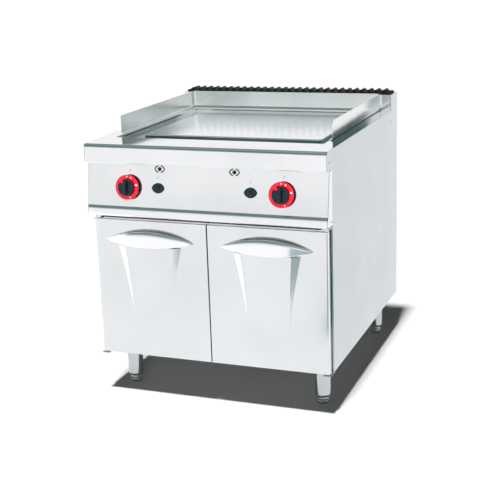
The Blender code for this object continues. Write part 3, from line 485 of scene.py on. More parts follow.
# %% Worktop
ROLL, FASCIA_BOTTOM = 0.0125, 0.790
RECESS_HALF, RECESS_FRONT, RECESS_BACK = 0.351, 0.134, 0.790
FLUE_FRONT = 0.806
hole_edge = SHEET + GAP
worktop_line = np.vstack([
    [(FLUE_FRONT - GAP, TOP), (RECESS_BACK + hole_edge, TOP), (RECESS_FRONT - hole_edge, TOP)],
    arc((ROLL, TOP - ROLL), ROLL, 90, 180, 20), arc((0.003, FASCIA_BOTTOM + 0.003), 0.003, 180, 270, 6),
    [(0.045, FASCIA_BOTTOM)]])
worktop_xs = [-INSIDE, -RECESS_HALF - hole_edge, RECESS_HALF + hole_edge, INSIDE]
whole = np.ones((len(worktop_xs) - 1, len(worktop_line) - 1), bool)
whole[1, 1] = False
worktop = make("worktop_sheet", [sheet_of(carried(worktop_line, worktop_xs), keep=whole)], "cabinet",
               STEEL_ACROSS, ("worktop",), outward=(0, -0.5, 1))
wall(worktop, TOP_SHEET)

# %% [markdown]
# ## The pan: moat and trough
# The plate lies in a pressed pan. A shallow moat runs round it and a deeper trough in front collects what is
# scraped off, with a hole that drains it. Seen from above, the pan is a height for each point: high at the
# rim, dropping within half a millimetre at each wall, and rounded where a wall meets the floor. Grid lines
# lie close together at the walls and far apart on the floors. Below the plate the pan is open to the
# burners. It could be cut from a box with booleans, but they leave ragged edges round the fillets.

# %% Pan
PLATE_TOP, PLATE_THICK = 0.841, 0.0195
PLATE_HALF, PLATE_FRONT, PLATE_BACK = 0.308, 0.247, 0.723
MOAT_FLOOR, TROUGH_FLOOR, PAN_FILLET = PLATE_TOP - PLATE_THICK - GAP, 0.800, 0.004
DRAIN_X, DRAIN_DEPTH, DRAIN_RADIUS, DRAIN_SQUARE = -0.200, 0.190, 0.0187, 0.026
OPEN_HALF, OPEN_FRONT, OPEN_BACK, WALL_RUN = 0.285, 0.270, 0.700, 0.0004
near_wall = np.array([0.0, 0.0005, 0.001, 0.0016, 0.0024, 0.0034, 0.0045])


def drop(inside, high, low):
    """Height at a distance inside a wall: a straight fall over half a millimetre to the fillet, the lower
    quarter of a circle, and then the floor."""
    fillet = low + PAN_FILLET - np.sqrt(np.clip(PAN_FILLET ** 2 - (PAN_FILLET - inside) ** 2, 0, None))
    floor = np.where(inside < PAN_FILLET, fillet, low)
    return np.where(inside < WALL_RUN, high, np.minimum(floor, high))


drain_square = np.array([-DRAIN_SQUARE, DRAIN_SQUARE])
pan_x = np.unique(np.round(np.concatenate([
    [-RECESS_HALF - SHEET], near_wall - RECESS_HALF, near_wall - PLATE_HALF, [-OPEN_HALF],
    DRAIN_X + drain_square, [OPEN_HALF], PLATE_HALF - near_wall, RECESS_HALF - near_wall,
    [RECESS_HALF + SHEET]]), 6))
pan_d = np.unique(np.round(np.concatenate([
    [RECESS_FRONT - SHEET], RECESS_FRONT + near_wall, DRAIN_DEPTH + drain_square,
    PLATE_FRONT - SHEET - near_wall, [PLATE_FRONT, OPEN_FRONT, OPEN_BACK], RECESS_BACK - near_wall,
    [RECESS_BACK + SHEET]]), 6))
across, deep = np.meshgrid(pan_x, pan_d, indexing="ij")
in_recess = np.minimum(RECESS_HALF - abs(across), np.minimum(deep - RECESS_FRONT, RECESS_BACK - deep))
in_trough = np.minimum(PLATE_HALF - abs(across), np.minimum(deep - RECESS_FRONT, PLATE_FRONT - SHEET - deep))
pan_z = drop(in_recess, TOP - GAP, MOAT_FLOOR)
pan_z = np.where(in_trough > WALL_RUN, drop(in_trough, MOAT_FLOOR, TROUGH_FLOOR), pan_z)
pan_z = np.where(in_recess <= WALL_RUN, TOP - GAP, pan_z)
mid_x, mid_d = (pan_x[1:] + pan_x[:-1])[:, None] / 2, (pan_d[1:] + pan_d[:-1])[None, :] / 2
open_below = (abs(mid_x) < OPEN_HALF) & (mid_d > OPEN_FRONT) & (mid_d < OPEN_BACK)
round_drain = (abs(mid_x - DRAIN_X) < DRAIN_SQUARE) & (abs(mid_d - DRAIN_DEPTH) < DRAIN_SQUARE)
pan_sheet = sheet_of(np.stack([across, y_at(deep), pan_z], axis=-1), keep=~(open_below | round_drain))
turn = np.radians(np.arange(0, 360, 7.5))
corner = np.maximum(abs(np.cos(turn)), abs(np.sin(turn)))
reach = np.stack([DRAIN_SQUARE / corner, np.full_like(turn, DRAIN_RADIUS + 0.0012),
                  np.full_like(turn, DRAIN_RADIUS + GAP), np.full_like(turn, DRAIN_RADIUS - 0.0009)])
sunk = np.array([[0.0], [0.0], [0.0004], [0.0013]])
drain_rim = np.stack([DRAIN_X + reach * np.cos(turn), y_at(DRAIN_DEPTH + reach * np.sin(turn)),
                      TROUGH_FLOOR - sunk * np.ones_like(turn)], axis=-1)
pan = make("pan_with_moat_and_trough", [pan_sheet, sheet_of(drain_rim, around=True)], "cabinet",
           STEEL_PAN, ("griddle_pan",), sharp=40, outward=(0, 0, 1))
wall(pan, 0.0012, sharp=40)

# %% [markdown]
# ## The griddle plate
# A plate of polished steel nearly 20 mm thick, ground along its length. Its corners are round in plan and
# its top edges are eased, which gives the bright line along each side. It is a stack of round-cornered
# outlines, each a little smaller towards the top, and a fan closes it below and above. The milled sides are
# rougher than the polished top and their dark teal colour is painted shade, so they have different finishes:
# the body ends where the eased edge starts and the top is a closed layer of its own. A bevelled box would
# come close, but here corners and edges have their own radii.

# %% Plate
plate_low, eased = PLATE_TOP - PLATE_THICK, 0.003
ease = [(0.0, PLATE_TOP - eased), *arc((eased, PLATE_TOP - eased), eased, 180, 90, 6)]
layers = {"griddle_plate_body": (PLATE_SIDE_PAINTED_SHADE, ("griddle_plate",),
                                 [(0.0015, plate_low), (0.0, plate_low + 0.0015), (0.0, PLATE_TOP - eased)]),
          "griddle_plate_polished": (STEEL_PLATE, (), [*ease, (0.0045, PLATE_TOP), (0.0115, PLATE_TOP)])}
for name, (finish_used, replaced, steps) in layers.items():
    rings = levels([(rounded_rectangle(PLATE_HALF - GAP - inset, PLATE_FRONT + GAP + inset,
                                       PLATE_BACK - inset, max(0.012 - inset, 0.0004)), z)
                    for inset, z in steps])
    make(name, [sheet_of(rings, around=True), fan(rings[0]), fan(rings[-1])], "cabinet", finish_used,
         replaced)

# %% [markdown]
# ## The splash guard
# A strip folded round three sides. Its foot turns in over the worktop's edge and drops into the moat, which
# is what holds it. The strip has one cross-section, given by how far in it lies and how high. That section
# is carried from the left front end, round two bends 14 mm in radius, to the right front end. At each end
# the upper corner is rounded, by lowering what stands above the corner's circle, and a narrow cap closes the
# strip. Sweeping a curve would do it too, but its ends would stay square.

# %% Splash guard
GUARD_HALF, GUARD_FRONT, GUARD_TOP, GUARD_BACK = 0.361, 0.192, 0.911, 0.800
GUARD_BEND, GUARD_CORNER = 0.014, 0.010
guard_line = np.vstack([[(0.0, GUARD_TOP)], arc((0.007, 0.8588), 0.007, 180, 270, 8),
                        arc((0.0098, 0.8498), 0.002, 90, 0, 4), [(0.0118, PLATE_TOP)]])
section = bent_sheet(guard_line, -SHEET)
way_in, way_up = section[:, 0], section[:, 1]
ends = GUARD_CORNER * (1 - np.cos(np.radians(np.linspace(0, 90, 9))))
rings = []
for back in ends:
    limit = GUARD_TOP - GUARD_CORNER + np.sqrt(max(GUARD_CORNER ** 2 - (GUARD_CORNER - back) ** 2, 0))
    rings.append(np.stack([way_in - GUARD_HALF, np.full(len(section), y_at(GUARD_FRONT + back)),
                           np.minimum(way_up, limit)], axis=1))
for angle in np.radians(np.linspace(0, 90, 9)):
    bend = GUARD_BEND - way_in
    rings.append(np.stack([GUARD_BEND - GUARD_HALF - bend * np.cos(angle),
                           y_at(GUARD_BACK - GUARD_BEND + bend * np.sin(angle)), way_up], axis=1))
half_guard = np.stack(rings)
other_half = half_guard[::-1] * (-1, 1, 1)
guard_grid = np.concatenate([half_guard, other_half])
half = len(section) // 2
caps = [sheet_of(np.stack([ring[:half], ring[:half - 1:-1]])) for ring in (guard_grid[0], guard_grid[-1])]
make("splash_guard_folded", [sheet_of(guard_grid, around=True), *caps], "splash_guard", STEEL_DEEP,
     ("splash_guard",), sharp=40)

# %% [markdown]
# ## The flue grate
# A sand cast grate lies on the flue: a frame with a row of leaning blades, like the teeth of a saw, that let
# the hot gas out and keep things from falling in. One blade is a closed outline carried from front to back.
# All the blades are that one grid with a list of steps added to its X. An array modifier does the same, but
# the frame round the blades is part of the piece too, and would be repeated with them.

# %% Flue grate
FLUE_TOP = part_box("flue_grate")[0][2]
GRATE_HALF, GRATE_FRONT, GRATE_BACK, PITCH, BLADES = 0.394, 0.816, 0.885, 0.0274, 28
bar = np.array([(0.0, 0.0), (0.0, 0.0052), (0.0008, 0.006), (0.0042, 0.006), (0.005, 0.0052), (0.005, 0.0)])
frame_rings = np.stack([
    levels([(rounded_rectangle(GRATE_HALF - inset, GRATE_FRONT + inset, GRATE_BACK - inset,
                               max(0.007 - inset, 0.002)), FLUE_TOP + z)])[0] for inset, z in bar])
lean = np.array([(0.0115, 0.0012), (0.0030, 0.0012), (-0.0030, 0.0070), (-0.0062, 0.0112), (-0.0058, 0.0132),
                 (-0.0042, 0.0140), (-0.0014, 0.0138), (0.0010, 0.0122), (0.0040, 0.0084), (0.0090, 0.0038)])
cuts = np.array([GRATE_FRONT + 0.0016, GRATE_FRONT + 0.0030, (GRATE_FRONT + GRATE_BACK) / 2,
                 GRATE_BACK - 0.0030, GRATE_BACK - 0.0016])
taper = np.array([0.9, 1.0, 1.0, 1.0, 0.9])
blade = np.empty((len(cuts), len(lean), 3))
blade[..., 0] = lean[None, :, 0]
blade[..., 1] = y_at(cuts[:, None])
blade[..., 2] = FLUE_TOP + lean[None, :, 1] * taper[:, None]
grate_sheets = [sheet_of(frame_rings, around=True, along=True)]
for x in PITCH * (np.arange(BLADES) - (BLADES - 1) / 2):
    one = blade + (x, 0, 0)
    grate_sheets += [sheet_of(one, around=True), fan(one[0]), fan(one[-1])]
make("flue_grate_cast", grate_sheets, "flue_grate", CAST_IRON, ("flue_grate",), sharp=50)

# %% [markdown]
# ## The control panel
# One sheet again: a flange under the fascia, the face that leans back 8 degrees so that the marks can be
# read from above, and a rounded nose over the doors, which shows as a bright roll with a dark line on it. A
# flat return closes each end. The two sight holes are real holes. Each is a square patch of the grid whose
# square edge runs over into a circle, and that circle goes in by one sheet. A boolean would cut them too, but
# it leaves long thin triangles that spoil the reflections.

# %% Control panel
PANEL_TOP_DEPTH, PANEL_FOOT_DEPTH = 0.025, 0.006
PANEL_TOP, PANEL_FOOT, NOSE_BOTTOM = FASCIA_BOTTOM - GAP, 0.653, 0.617
TILT = math.atan2(PANEL_TOP_DEPTH - PANEL_FOOT_DEPTH, PANEL_TOP - PANEL_FOOT)
SIDE_FRONT = 0.052
KNOB_X, KNOB_Z, BUTTON_X, BUTTON_Z = 0.256, 0.714, 0.154, 0.7145
SIGHT_Z = 0.774
SIGHT = {"left": (-0.149, SIGHT_Z), "right": (0.101, SIGHT_Z)}
SIGHT_RADIUS, SIGHT_SQUARE = 0.004, 0.006
NOSE_Z, NOSE_HIGH, NOSE_DEEP, NOSE_SQUARE = 0.6348, 0.0178, 0.0105, 0.95


def on_panel(x, height, points):
    """Carries points given as (right, up, out) on the panel's face to their place. Out is its normal."""
    points = np.asarray(points, float)
    depth = PANEL_FOOT_DEPTH + (height - PANEL_FOOT) * math.tan(TILT)
    right, up, out = points[..., 0], points[..., 1], points[..., 2]
    return np.stack([x + right, y_at(depth) + up * math.sin(TILT) - out * math.cos(TILT),
                     height + up * math.cos(TILT) + out * math.sin(TILT)], axis=-1)


roll = np.radians(np.linspace(62, -90, 28))
nose = np.column_stack([NOSE_DEEP * (1 - np.cos(roll) ** NOSE_SQUARE),
                        NOSE_Z + NOSE_HIGH * np.sign(np.sin(roll)) * abs(np.sin(roll)) ** NOSE_SQUARE])
slope = [(PANEL_FOOT_DEPTH + (z - PANEL_FOOT) * math.tan(TILT), z)
         for z in (SIGHT_Z + SIGHT_SQUARE, SIGHT_Z - SIGHT_SQUARE)]
panel_line = np.vstack([[(0.045, PANEL_TOP), (PANEL_TOP_DEPTH, PANEL_TOP)], slope,
                        [(PANEL_FOOT_DEPTH, PANEL_FOOT)], nose, [(SIDE_FRONT - GAP, NOSE_BOTTOM)]])
panel_xs = np.sort([-HALF, HALF, *(x + s * SIGHT_SQUARE for x, _ in SIGHT.values() for s in (-1, 1))])
panel_keep = np.ones((len(panel_xs) - 1, len(panel_line) - 1), bool)
panel_keep[[1, 3], 2] = False
panel_sheets = [sheet_of(carried(panel_line, panel_xs), keep=panel_keep)]
for x, z in SIGHT.values():
    reach = np.stack([SIGHT_SQUARE / corner, *[np.full_like(turn, SIGHT_RADIUS)] * 2])
    up = reach * np.sin(turn) * np.array([[1 / math.cos(TILT)], [1], [1]])
    out = np.array([[0.0], [0.0], [-SHEET]]) * np.ones_like(turn)
    hole = on_panel(x, z, np.stack([reach * np.cos(turn), up, out], axis=-1))
    panel_sheets.append(sheet_of(hole, around=True))
panel = make("control_panel_face", panel_sheets, "cabinet", STEEL_ACROSS,
             ("control_panel",), outward=(0, -1, 0.1))
wall(panel, SHEET)
for name, side in SIDES.items():
    outline = np.vstack([panel_line[1:], [(SIDE_FRONT - GAP, PANEL_TOP)]])
    rim = carried(outline, [side * (HALF - SHEET), side * HALF])
    make(f"control_panel_return_{name}", [sheet_of(rim, around=True), fan(rim[0]), fan(rim[1])], "cabinet",
         STEEL_DEEP)

# %% [markdown]
# ## Knobs and dials
# Each knob is one black moulding: a skirt behind, a round grip and a finger bar across it. The red dial is a
# printed ring that lies on the skirt. The grip and ring are profiles turned about the spindle. The bar is a
# stack of outlines that narrow towards its crest. All of them are made flat, with Z out of the panel, and
# then carried onto the panel's slope. The signs are thin closed shapes, 0.2 mm thick, that stand for print:
# a star for the spark, a large and a small flame, and a ring for off. A red tab on the grip's rim points to
# the sign that is set. A knob could be sculpted, but only a turned one is truly round.

# %% Knob and dial shapes
GRIP, DIAL, KNOB_FACE, SKIRT, STEP = 0.027, 0.0395, 0.036, 0.005, 0.012
grip_profile = np.vstack([
    [(0.0045, SKIRT + 0.002), (0.0300, SKIRT + 0.002), (0.0310, SKIRT), (DIAL - 0.0016, SKIRT)],
    arc((DIAL - 0.0016, SKIRT + 0.0006), 0.0006, -90, 0, 3),
    arc((DIAL - 0.0016, STEP - 0.0006), 0.0006, 0, 90, 3),
    [(GRIP, STEP), (GRIP - 0.0003, 0.0235)], arc((GRIP - 0.0032, 0.0258), 0.0026, 0, 90, 6),
    [(0.0215, 0.0280), (0.0180, 0.0268), (0.0045, 0.0264)]])
dial_profile = np.vstack([[(GRIP + GAP, STEP + GAP), (DIAL, STEP + GAP)],
                          arc((DIAL - 0.0012, 0.0143), 0.0012, 0, 90, 5), [(GRIP + 0.0012, 0.0155)],
                          arc((GRIP + 0.0012, 0.0150), 0.0005, 90, 180, 3)])


def slot_outline(half_wide, half_long, steps=10):
    """A bar with round ends: two half circles, the upper one moved up and the lower one down."""
    shift = half_long - half_wide
    upper, lower = arc((0, shift), half_wide, 0, 180, steps), arc((0, -shift), half_wide, 180, 360, steps)
    return np.vstack([upper, lower])


def stack(outlines):
    """Outlines in the plane of the panel, each with its own distance out."""
    return np.stack([np.column_stack([o, np.full(len(o), z)]) for o, z in outlines])


bar_levels = [(0.0072, 0.0250, 0.0240), (0.0068, 0.0250, 0.0290), (0.0058, 0.0250, 0.0335),
              (0.0046, 0.0246, 0.0354), (0.0030, 0.0238, KNOB_FACE), (0.0012, 0.0220, KNOB_FACE)]
bar_stack = stack([(slot_outline(wide, long), z) for wide, long, z in bar_levels])


def spun(points, degrees):
    """Turns flat points clockwise about the knob's axis, as the knob turns for a person in front of it."""
    a = math.radians(-degrees)
    turned_points = np.array(points, float)
    turned_points[..., 0] = points[..., 0] * math.cos(a) - points[..., 1] * math.sin(a)
    turned_points[..., 1] = points[..., 0] * math.sin(a) + points[..., 1] * math.cos(a)
    return turned_points


def star_outline(radius, tips=6):
    """A star: the radius swings between full and half, tips times round."""
    a = np.radians(np.linspace(0, 360, 2 * tips, endpoint=False))
    r = radius * np.where(np.arange(2 * tips) % 2 == 0, 1.0, 0.42)
    return np.column_stack([r * np.sin(a), r * np.cos(a)])


def flame_outline(radius):
    """A drop that leans: a circle below, drawn up to one tip that is shifted sideways."""
    a = np.radians(np.linspace(0, 360, 20, endpoint=False))
    tip = np.clip(np.cos(a), 0, 1) ** 3
    return np.column_stack([radius * (0.72 * np.sin(a) * (1 - 0.5 * tip) + 0.25 * tip),
                            radius * (np.cos(a) * 0.8 + 0.45 * tip)])


# %% Knobs, dials and their marks
PRINT_LOW, PRINT_HIGH, SIGN_RADIUS, TAB_TURN = 0.01545, 0.0157, 0.0335, -33.0
# each sign's outline and how far round from the top it stands, in degrees clockwise
knob_signs = [(star_outline(0.0032), 25.0), (flame_outline(0.0036), 76.0), (flame_outline(0.0025), 157.0)]
off_sign = turned([(0.0013, PRINT_LOW), (0.0013, PRINT_HIGH), (0.0021, PRINT_HIGH),
                   (0.0021, PRINT_LOW)], 20) + (0, SIGN_RADIUS, 0)
for name, side in SIDES.items():
    x, body = side * KNOB_X, f"knob_{name}"
    grip_grid = on_panel(x, KNOB_Z, turned(grip_profile, 72))
    dial_grid = on_panel(x, KNOB_Z, turned(dial_profile, 96))
    bar_grid = on_panel(x, KNOB_Z, bar_stack)
    make(f"knob_{name}_moulding",
         [sheet_of(grip_grid, around=True, along=True), sheet_of(bar_grid, around=True), fan(bar_grid[0]),
          fan(bar_grid[-1])], body, ABS_BLACK, (f"knob_grip_{name}",), sharp=45)
    make(f"knob_{name}_dial", [sheet_of(dial_grid, around=True, along=True)], body, DIAL_RED,
         (f"knob_dial_{name}",))
    signs = []
    for outline, degrees in knob_signs:
        flat = stack([(outline, PRINT_LOW), (outline, PRINT_HIGH)]) + (0, SIGN_RADIUS, 0)
        ring = on_panel(x, KNOB_Z, spun(flat, degrees))
        signs += [sheet_of(ring, around=True), fan(ring[0]), fan(ring[1])]
    signs.append(sheet_of(on_panel(x, KNOB_Z, off_sign), around=True, along=True))
    make(f"knob_{name}_signs", signs, body, PRINT_WHITE)
    tab = stack([(rounded_rectangle(0.0034, 0.0185, 0.0268, 0.0008, 2), z) for z in (0.0262, 0.0288)])
    tab = on_panel(x, KNOB_Z, spun(tab, TAB_TURN))
    make(f"knob_{name}_pointer", [sheet_of(tab, around=True), fan(tab[0]), fan(tab[1])], body, DIAL_RED)

# %% [markdown]
# ## Igniters
# Left and right of the middle, a rubber bezel shaped like an eye holds the piezo igniter's button. Its
# outline is a circle squeezed to a lens, and its face is crowned, so each ring towards the middle is smaller
# and higher. The button is a turned cap in the bezel. It ends 4.8 mm above the panel's face, which leaves
# room for its travel of 4 mm. Behind the panel the igniter's own barrel is turned in the same way. Half an
# ellipsoid could be the bezel, but its sides would bulge where these draw in.


# %% Bezels and buttons
def eye_outline(half_wide, half_high, steps=64):
    """A rounded lens: cosine and sine raised to powers just over one, so that the sides draw in."""
    a = np.linspace(0, 2 * np.pi, steps, endpoint=False)
    c, s = np.cos(a), np.sin(a)
    return np.column_stack([half_wide * np.sign(c) * abs(c) ** 1.05,
                            half_high * np.sign(s) * abs(s) ** 1.25])


crown = [(0.985, GAP), (1.0, 0.0010), (1.0, 0.0024), (0.975, 0.0036), (0.92, 0.0048), (0.84, 0.0057),
         (0.70, 0.0063)]
bezel_flat = stack([(eye_outline(0.021, 0.0165) * k, z) for k, z in crown])
lip = turned([(0.0095, 0.0066), (0.0087, 0.0064), (0.0085, 0.0010)], 64)
bezel_flat = np.concatenate([bezel_flat, lip])
WELL = [(0.0085, 0.0010), (0.0085, -0.0030), (0.0, -0.0030)]
BARREL = [(0.0, -0.060), (0.004, -0.060), (0.004, -0.045), (0.0088, -0.045), (0.0088, -0.0088),
          (0.0140, -0.0078), (0.0140, -SHEET - GAP), (0.0088, -SHEET - GAP), (0.0088, GAP)]
DOT = [(0.0, 0.0056), (0.0013, 0.0056), (0.0013, 0.0062), (0.0, 0.0062)]
button_profile = np.vstack([[(0.0, 0.0048), (0.0076, 0.0048), (0.0079, 0.0052), (0.0079, 0.0085)],
                            arc((0.0061, 0.0088), 0.0018, 0, 80, 6), [(0.0035, 0.0114), (0.0, 0.0118)]])
for name, side in SIDES.items():
    x = side * BUTTON_X
    bezel, well, barrel, button, dot = (
        sheet_of(on_panel(x, BUTTON_Z, flat), around=True)
        for flat in (bezel_flat, turned(WELL, 64), turned(BARREL, 64), turned(button_profile, 48),
                     turned(DOT, 16) + (0.0140, 0.0, 0.0)))
    make(f"igniter_{name}_bezel", [bezel, well, barrel], "cabinet", RUBBER,
         (f"igniter_{name}",), sharp=50)
    make(f"igniter_{name}_button", [button], f"igniter_button_{name}", ABS_BLACK,
         (f"igniter_button_{name}",), sharp=40)
    make(f"igniter_{name}_dot", [dot], "cabinet", PRINT_WHITE)

# %% [markdown]
# ## Printed signs on the panel
# Beside each sight hole an eye is printed, above each dial a small index line, and above each igniter a
# spark. They are screen prints, drawn a tenth of a millimetre thick so that they don't flicker with the
# sheet below. An image would need a texture; here each is a flat ribbon: a middle line with a width, moved
# out of the panel by the thickness of the ink.


# %% Ribbons of ink
INK_LOW, INK_HIGH = 0.00001, 0.00013
INDEX_UP, SPARK_UP = 0.0505, 0.0335


def ribbon(line, width):
    """Closed outline of a stroke: its middle line moved half the width to each side."""
    line = np.asarray(line, float)
    run = np.gradient(line, axis=0)
    side = np.stack([-run[:, 1], run[:, 0]], axis=1) / np.linalg.norm(run, axis=1)[:, None] * width / 2
    return np.stack([line + side, line - side])


def ink(x, height, line, width):
    """A stroke of ink on the panel, as a grid: left edge and right edge, lower face and upper face."""
    edges = ribbon(line, width)
    low = np.dstack([edges, np.full(edges.shape[:2], INK_LOW)])
    high = np.dstack([edges, np.full(edges.shape[:2], INK_HIGH)])
    loop = on_panel(x, height, np.stack([low[0], low[1], high[1], high[0]], axis=1))
    return [sheet_of(loop, around=True), fan(loop[0]), fan(loop[-1])]


lid = np.array([(0.0040, 0.0102), (0.0080, 0.0090), (0.0118, 0.0062), (0.0146, 0.0032), (0.0160, 0.0)])
lid = np.vstack([lid, lid[-2::-1] * (1, -1)])
for name, (x, z) in SIGHT.items():
    strokes = [part for side in (-1, 1) for part in ink(x, z, lid * (side, 1), 0.0038)]
    pupil = turned([(0.0042, INK_LOW), (0.0042, INK_HIGH), (0.0066, INK_HIGH), (0.0066, INK_LOW)], 40)
    strokes.append(sheet_of(on_panel(x, z, pupil), around=True, along=True))
    make(f"sight_sign_{name}", strokes, "cabinet", PRINT_BLACK)
for name, side in SIDES.items():
    over_knob, over_button = (side * KNOB_X, KNOB_Z + INDEX_UP), (side * BUTTON_X, BUTTON_Z + SPARK_UP)
    strokes = ink(*over_knob, [(0.004, -0.004), (0.004, 0.0), (0.004, 0.004)], 0.0016)
    strokes += ink(*over_knob, [(0.001, 0.004), (0.004, 0.0045), (0.007, 0.004)], 0.0012)
    strokes += ink(*over_button, [(-0.003, -0.003), (0.0, 0.001), (-0.001, 0.002), (0.003, 0.006)], 0.0011)
    strokes += ink(*over_button, [(-0.006, -0.004), (-0.004, -0.004), (0.002, -0.004)], 0.0011)
    make(f"panel_sign_{name}", strokes, "cabinet", PRINT_GREY)

# %% [markdown]
# ## The doors
# A door is a shallow tray of sheet: a face folded back on all four sides. Under the handle a neck is pressed
# out of it. It stands 12.6 mm out at the top, where the sides of the press leave two sharp creases, and it
# runs out into the flat face lower down. The face is a height for each point of a grid: how far the neck
# stands out there. Past the face's edge the grid goes round a small bend and straight back. Sculpting or a
# displacement map could press the neck too, but only a formula keeps its creases straight.

# %% Door skins
DOOR_FACE, DOOR_BACK, DOOR_BOTTOM, DOOR_TOP = 0.022, 0.048, 0.146, 0.603
DOOR_INNER, DOOR_OUTER, NECK_TOP = 0.0015, 0.3935, 0.521
NECK_CENTRE = (DOOR_INNER + DOOR_OUTER) / 2
neck_z = np.array([0.290, 0.310, 0.360, 0.420, 0.480, NECK_TOP])
neck_crest = np.array([0.0700, 0.0710, 0.0725, 0.0755, 0.0800, 0.0835])
neck_foot = np.array([0.0705, 0.0716, 0.0775, 0.0885, 0.1005, 0.1095])
neck_out = np.array([0.0000, 0.0004, 0.0025, 0.0060, 0.0100, 0.0126])


def neck_height(x, z):
    """How far the neck stands out: its full height between the crests, falling in a straight line to the
    foot on each side. Crest, foot and height run evenly from level to level, and above the top it stops."""
    crest, foot, out = (np.interp(z, neck_z, values) for values in (neck_crest, neck_foot, neck_out))
    fall = np.clip((foot - abs(x)) / (foot - crest), 0, 1)
    crown = 1 - 0.05 * np.clip(abs(x) / crest, 0, 1) ** 2
    return np.where(z > NECK_TOP + 0.0001, 0.0, out * fall * crown)


def folded_edge(low, high, inner, bend=0.002):
    """Positions along one side of the tray, and how far back each lies: a return, a bend, the face's own
    positions, a bend and a return."""
    a = np.radians(np.linspace(0, 90, 5))
    back = DOOR_BACK - SHEET - DOOR_FACE
    start = np.concatenate([[low], low + bend * (1 - np.cos(a))])
    start_back = np.concatenate([[back], bend * (1 - np.sin(a))])
    return (np.concatenate([start, inner, (low + high) - start[::-1]]),
            np.concatenate([start_back, np.zeros(len(inner)), start_back[::-1]]))


face_x = np.unique(np.round(np.concatenate([np.linspace(-0.190, 0.190, 39), np.linspace(0.064, 0.116, 53),
                                            -np.linspace(0.064, 0.116, 53)]), 5))
face_z = np.unique(np.round(np.concatenate([np.linspace(0.150, 0.270, 5), np.linspace(0.270, NECK_TOP, 64),
                                            [NECK_TOP + 0.0006], np.linspace(0.53, 0.599, 5)]), 5))
for name, side in SIDES.items():
    across, back_x = folded_edge(-NECK_CENTRE + DOOR_INNER, NECK_CENTRE - DOOR_INNER, face_x)
    upright, back_z = folded_edge(DOOR_BOTTOM, DOOR_TOP, face_z)
    x, z = np.meshgrid(across, upright, indexing="ij")
    depth = DOOR_FACE - neck_height(x, z) + np.maximum(back_x[:, None], back_z[None, :])
    skin = np.stack([side * NECK_CENTRE + x, y_at(depth), z], axis=-1)
    # The door's finish is the worktop steel made darker, which is painted shade.
    piece = make(f"door_{name}_skin_pressed", [sheet_of(skin)], f"door_{name}", STEEL_DOOR_PAINTED_SHADE,
                 (f"door_skin_{name}",), sharp=14, outward=(0, -1, 0))
    wall(piece, 0.0012, sharp=14)

# %% [markdown]
# ## The handles
# A polished cap shaped like a lens, with room for the fingers behind it. Seen from the front it is two arcs
# that meet in a point left and right, where the cap lies on the door and is welded to it. It bulges most in
# the middle. Its cross-section is a closed loop: the face from the lower to the upper edge, and the same
# line again one wall behind it. A face that looks back is the cap's inside, which is left matt. A flattened
# sphere would come close, but its ends would be round.

# %% Handles
HANDLE_HALF, HANDLE_Z, HANDLE_WALL = 0.153, 0.538, 0.0025
along = np.sin(np.radians(np.linspace(-80.1, 80.1, 81)))
up = np.concatenate([[0.0, 0.012, 0.03], np.linspace(0.07, 0.93, 17), [0.97, 0.988, 1.0]])
t, h = np.meshgrid(along, up, indexing="ij")
belly = np.clip(1 - (t / along.max()) ** 2, 0, 1) ** 0.7
lean_back = 0.006 * belly * np.clip(2 * h - 1, 0, 1) ** 2.4
handle_depth = DOOR_FACE - HANDLE_WALL - GAP - 0.024 * belly + lean_back
edge_turn = 0.0022 * belly * (np.clip((h - 0.93) / 0.07, 0, 1) ** 2 + np.clip((0.07 - h) / 0.07, 0, 1) ** 2)
handle_z = HANDLE_Z + (1 - t ** 2) * (-0.018 + 0.052 * h)
for name, side in SIDES.items():
    middle_x = side * NECK_CENTRE
    outer = np.stack([middle_x + HANDLE_HALF * t, y_at(handle_depth + edge_turn), handle_z], axis=-1)
    inner = outer + (0, HANDLE_WALL, 0)
    inner[..., 2] += 0.0012 * (0.5 - h) * 2 * (1 - t ** 2)
    loop = np.concatenate([outer, inner[:, ::-1]], axis=1)
    cap = make(f"door_{name}_handle_cap", [sheet_of(loop, around=True), fan(loop[0]), fan(loop[-1])],
               f"door_{name}", STEEL_BRIGHT, (f"handle_{name}",), sharp=50)
    cap.data.materials.append(STEEL_PAN)
    for face in cap.data.polygons:
        face.material_index = int(face.normal.y > 0.3)

# %% [markdown]
# ## Sides and screws
# A side is one large sheet from the cabinet's floor to the worktop. Its outline has a lug that closes the
# end of the worktop, with the same roll, and an ear beside the flue. The CAD solid has that shape, so it
# stays, and only takes a finish. The pan head screws get their dome and cross recess here: a height for each
# point of a polar grid, less the recess where a point lies within either arm of the cross.

# %% Screw heads
HEAD_HIGH, HEAD_RADIUS, ARM_WIDE, ARM_LONG, CROSS_DEEP = 0.0020, 0.00425, 0.00042, 0.0024, 0.0010
ray = np.concatenate([[0.0], np.linspace(0.0003, 0.0026, 9), [0.0031, 0.0036, 0.0039, 0.0042, 0.0042]])
r, a = np.meshgrid(ray, turn, indexing="ij")
dome = HEAD_HIGH * np.sqrt(np.clip(1 - (r / HEAD_RADIUS) ** 2.6, 0, 1)) + 0.0002
dome[-1] = 0.0
arm_x, arm_y = abs(r * np.cos(a)), abs(r * np.sin(a))
in_cross = (np.minimum(arm_x, arm_y) < ARM_WIDE) & (np.maximum(arm_x, arm_y) < ARM_LONG)
dome = np.where(in_cross, dome - CROSS_DEEP, dome)
for node_name in sorted(n for n in frame["nodes"] if n.startswith("screw_")):
    low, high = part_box(node_name)
    side = RIGHT if node_name.endswith("right") else LEFT
    out, mid_y, mid_z = side * (HALF + GAP + dome), (low[1] + high[1]) / 2, (low[2] + high[2]) / 2
    head = np.stack([out, mid_y + r * np.cos(a), mid_z + r * np.sin(a)], axis=-1)
    make(f"{node_name}_head", [sheet_of(head, around=True), fan(head[-1])], "cabinet", STEEL_BRIGHT,
         (node_name,), sharp=40)

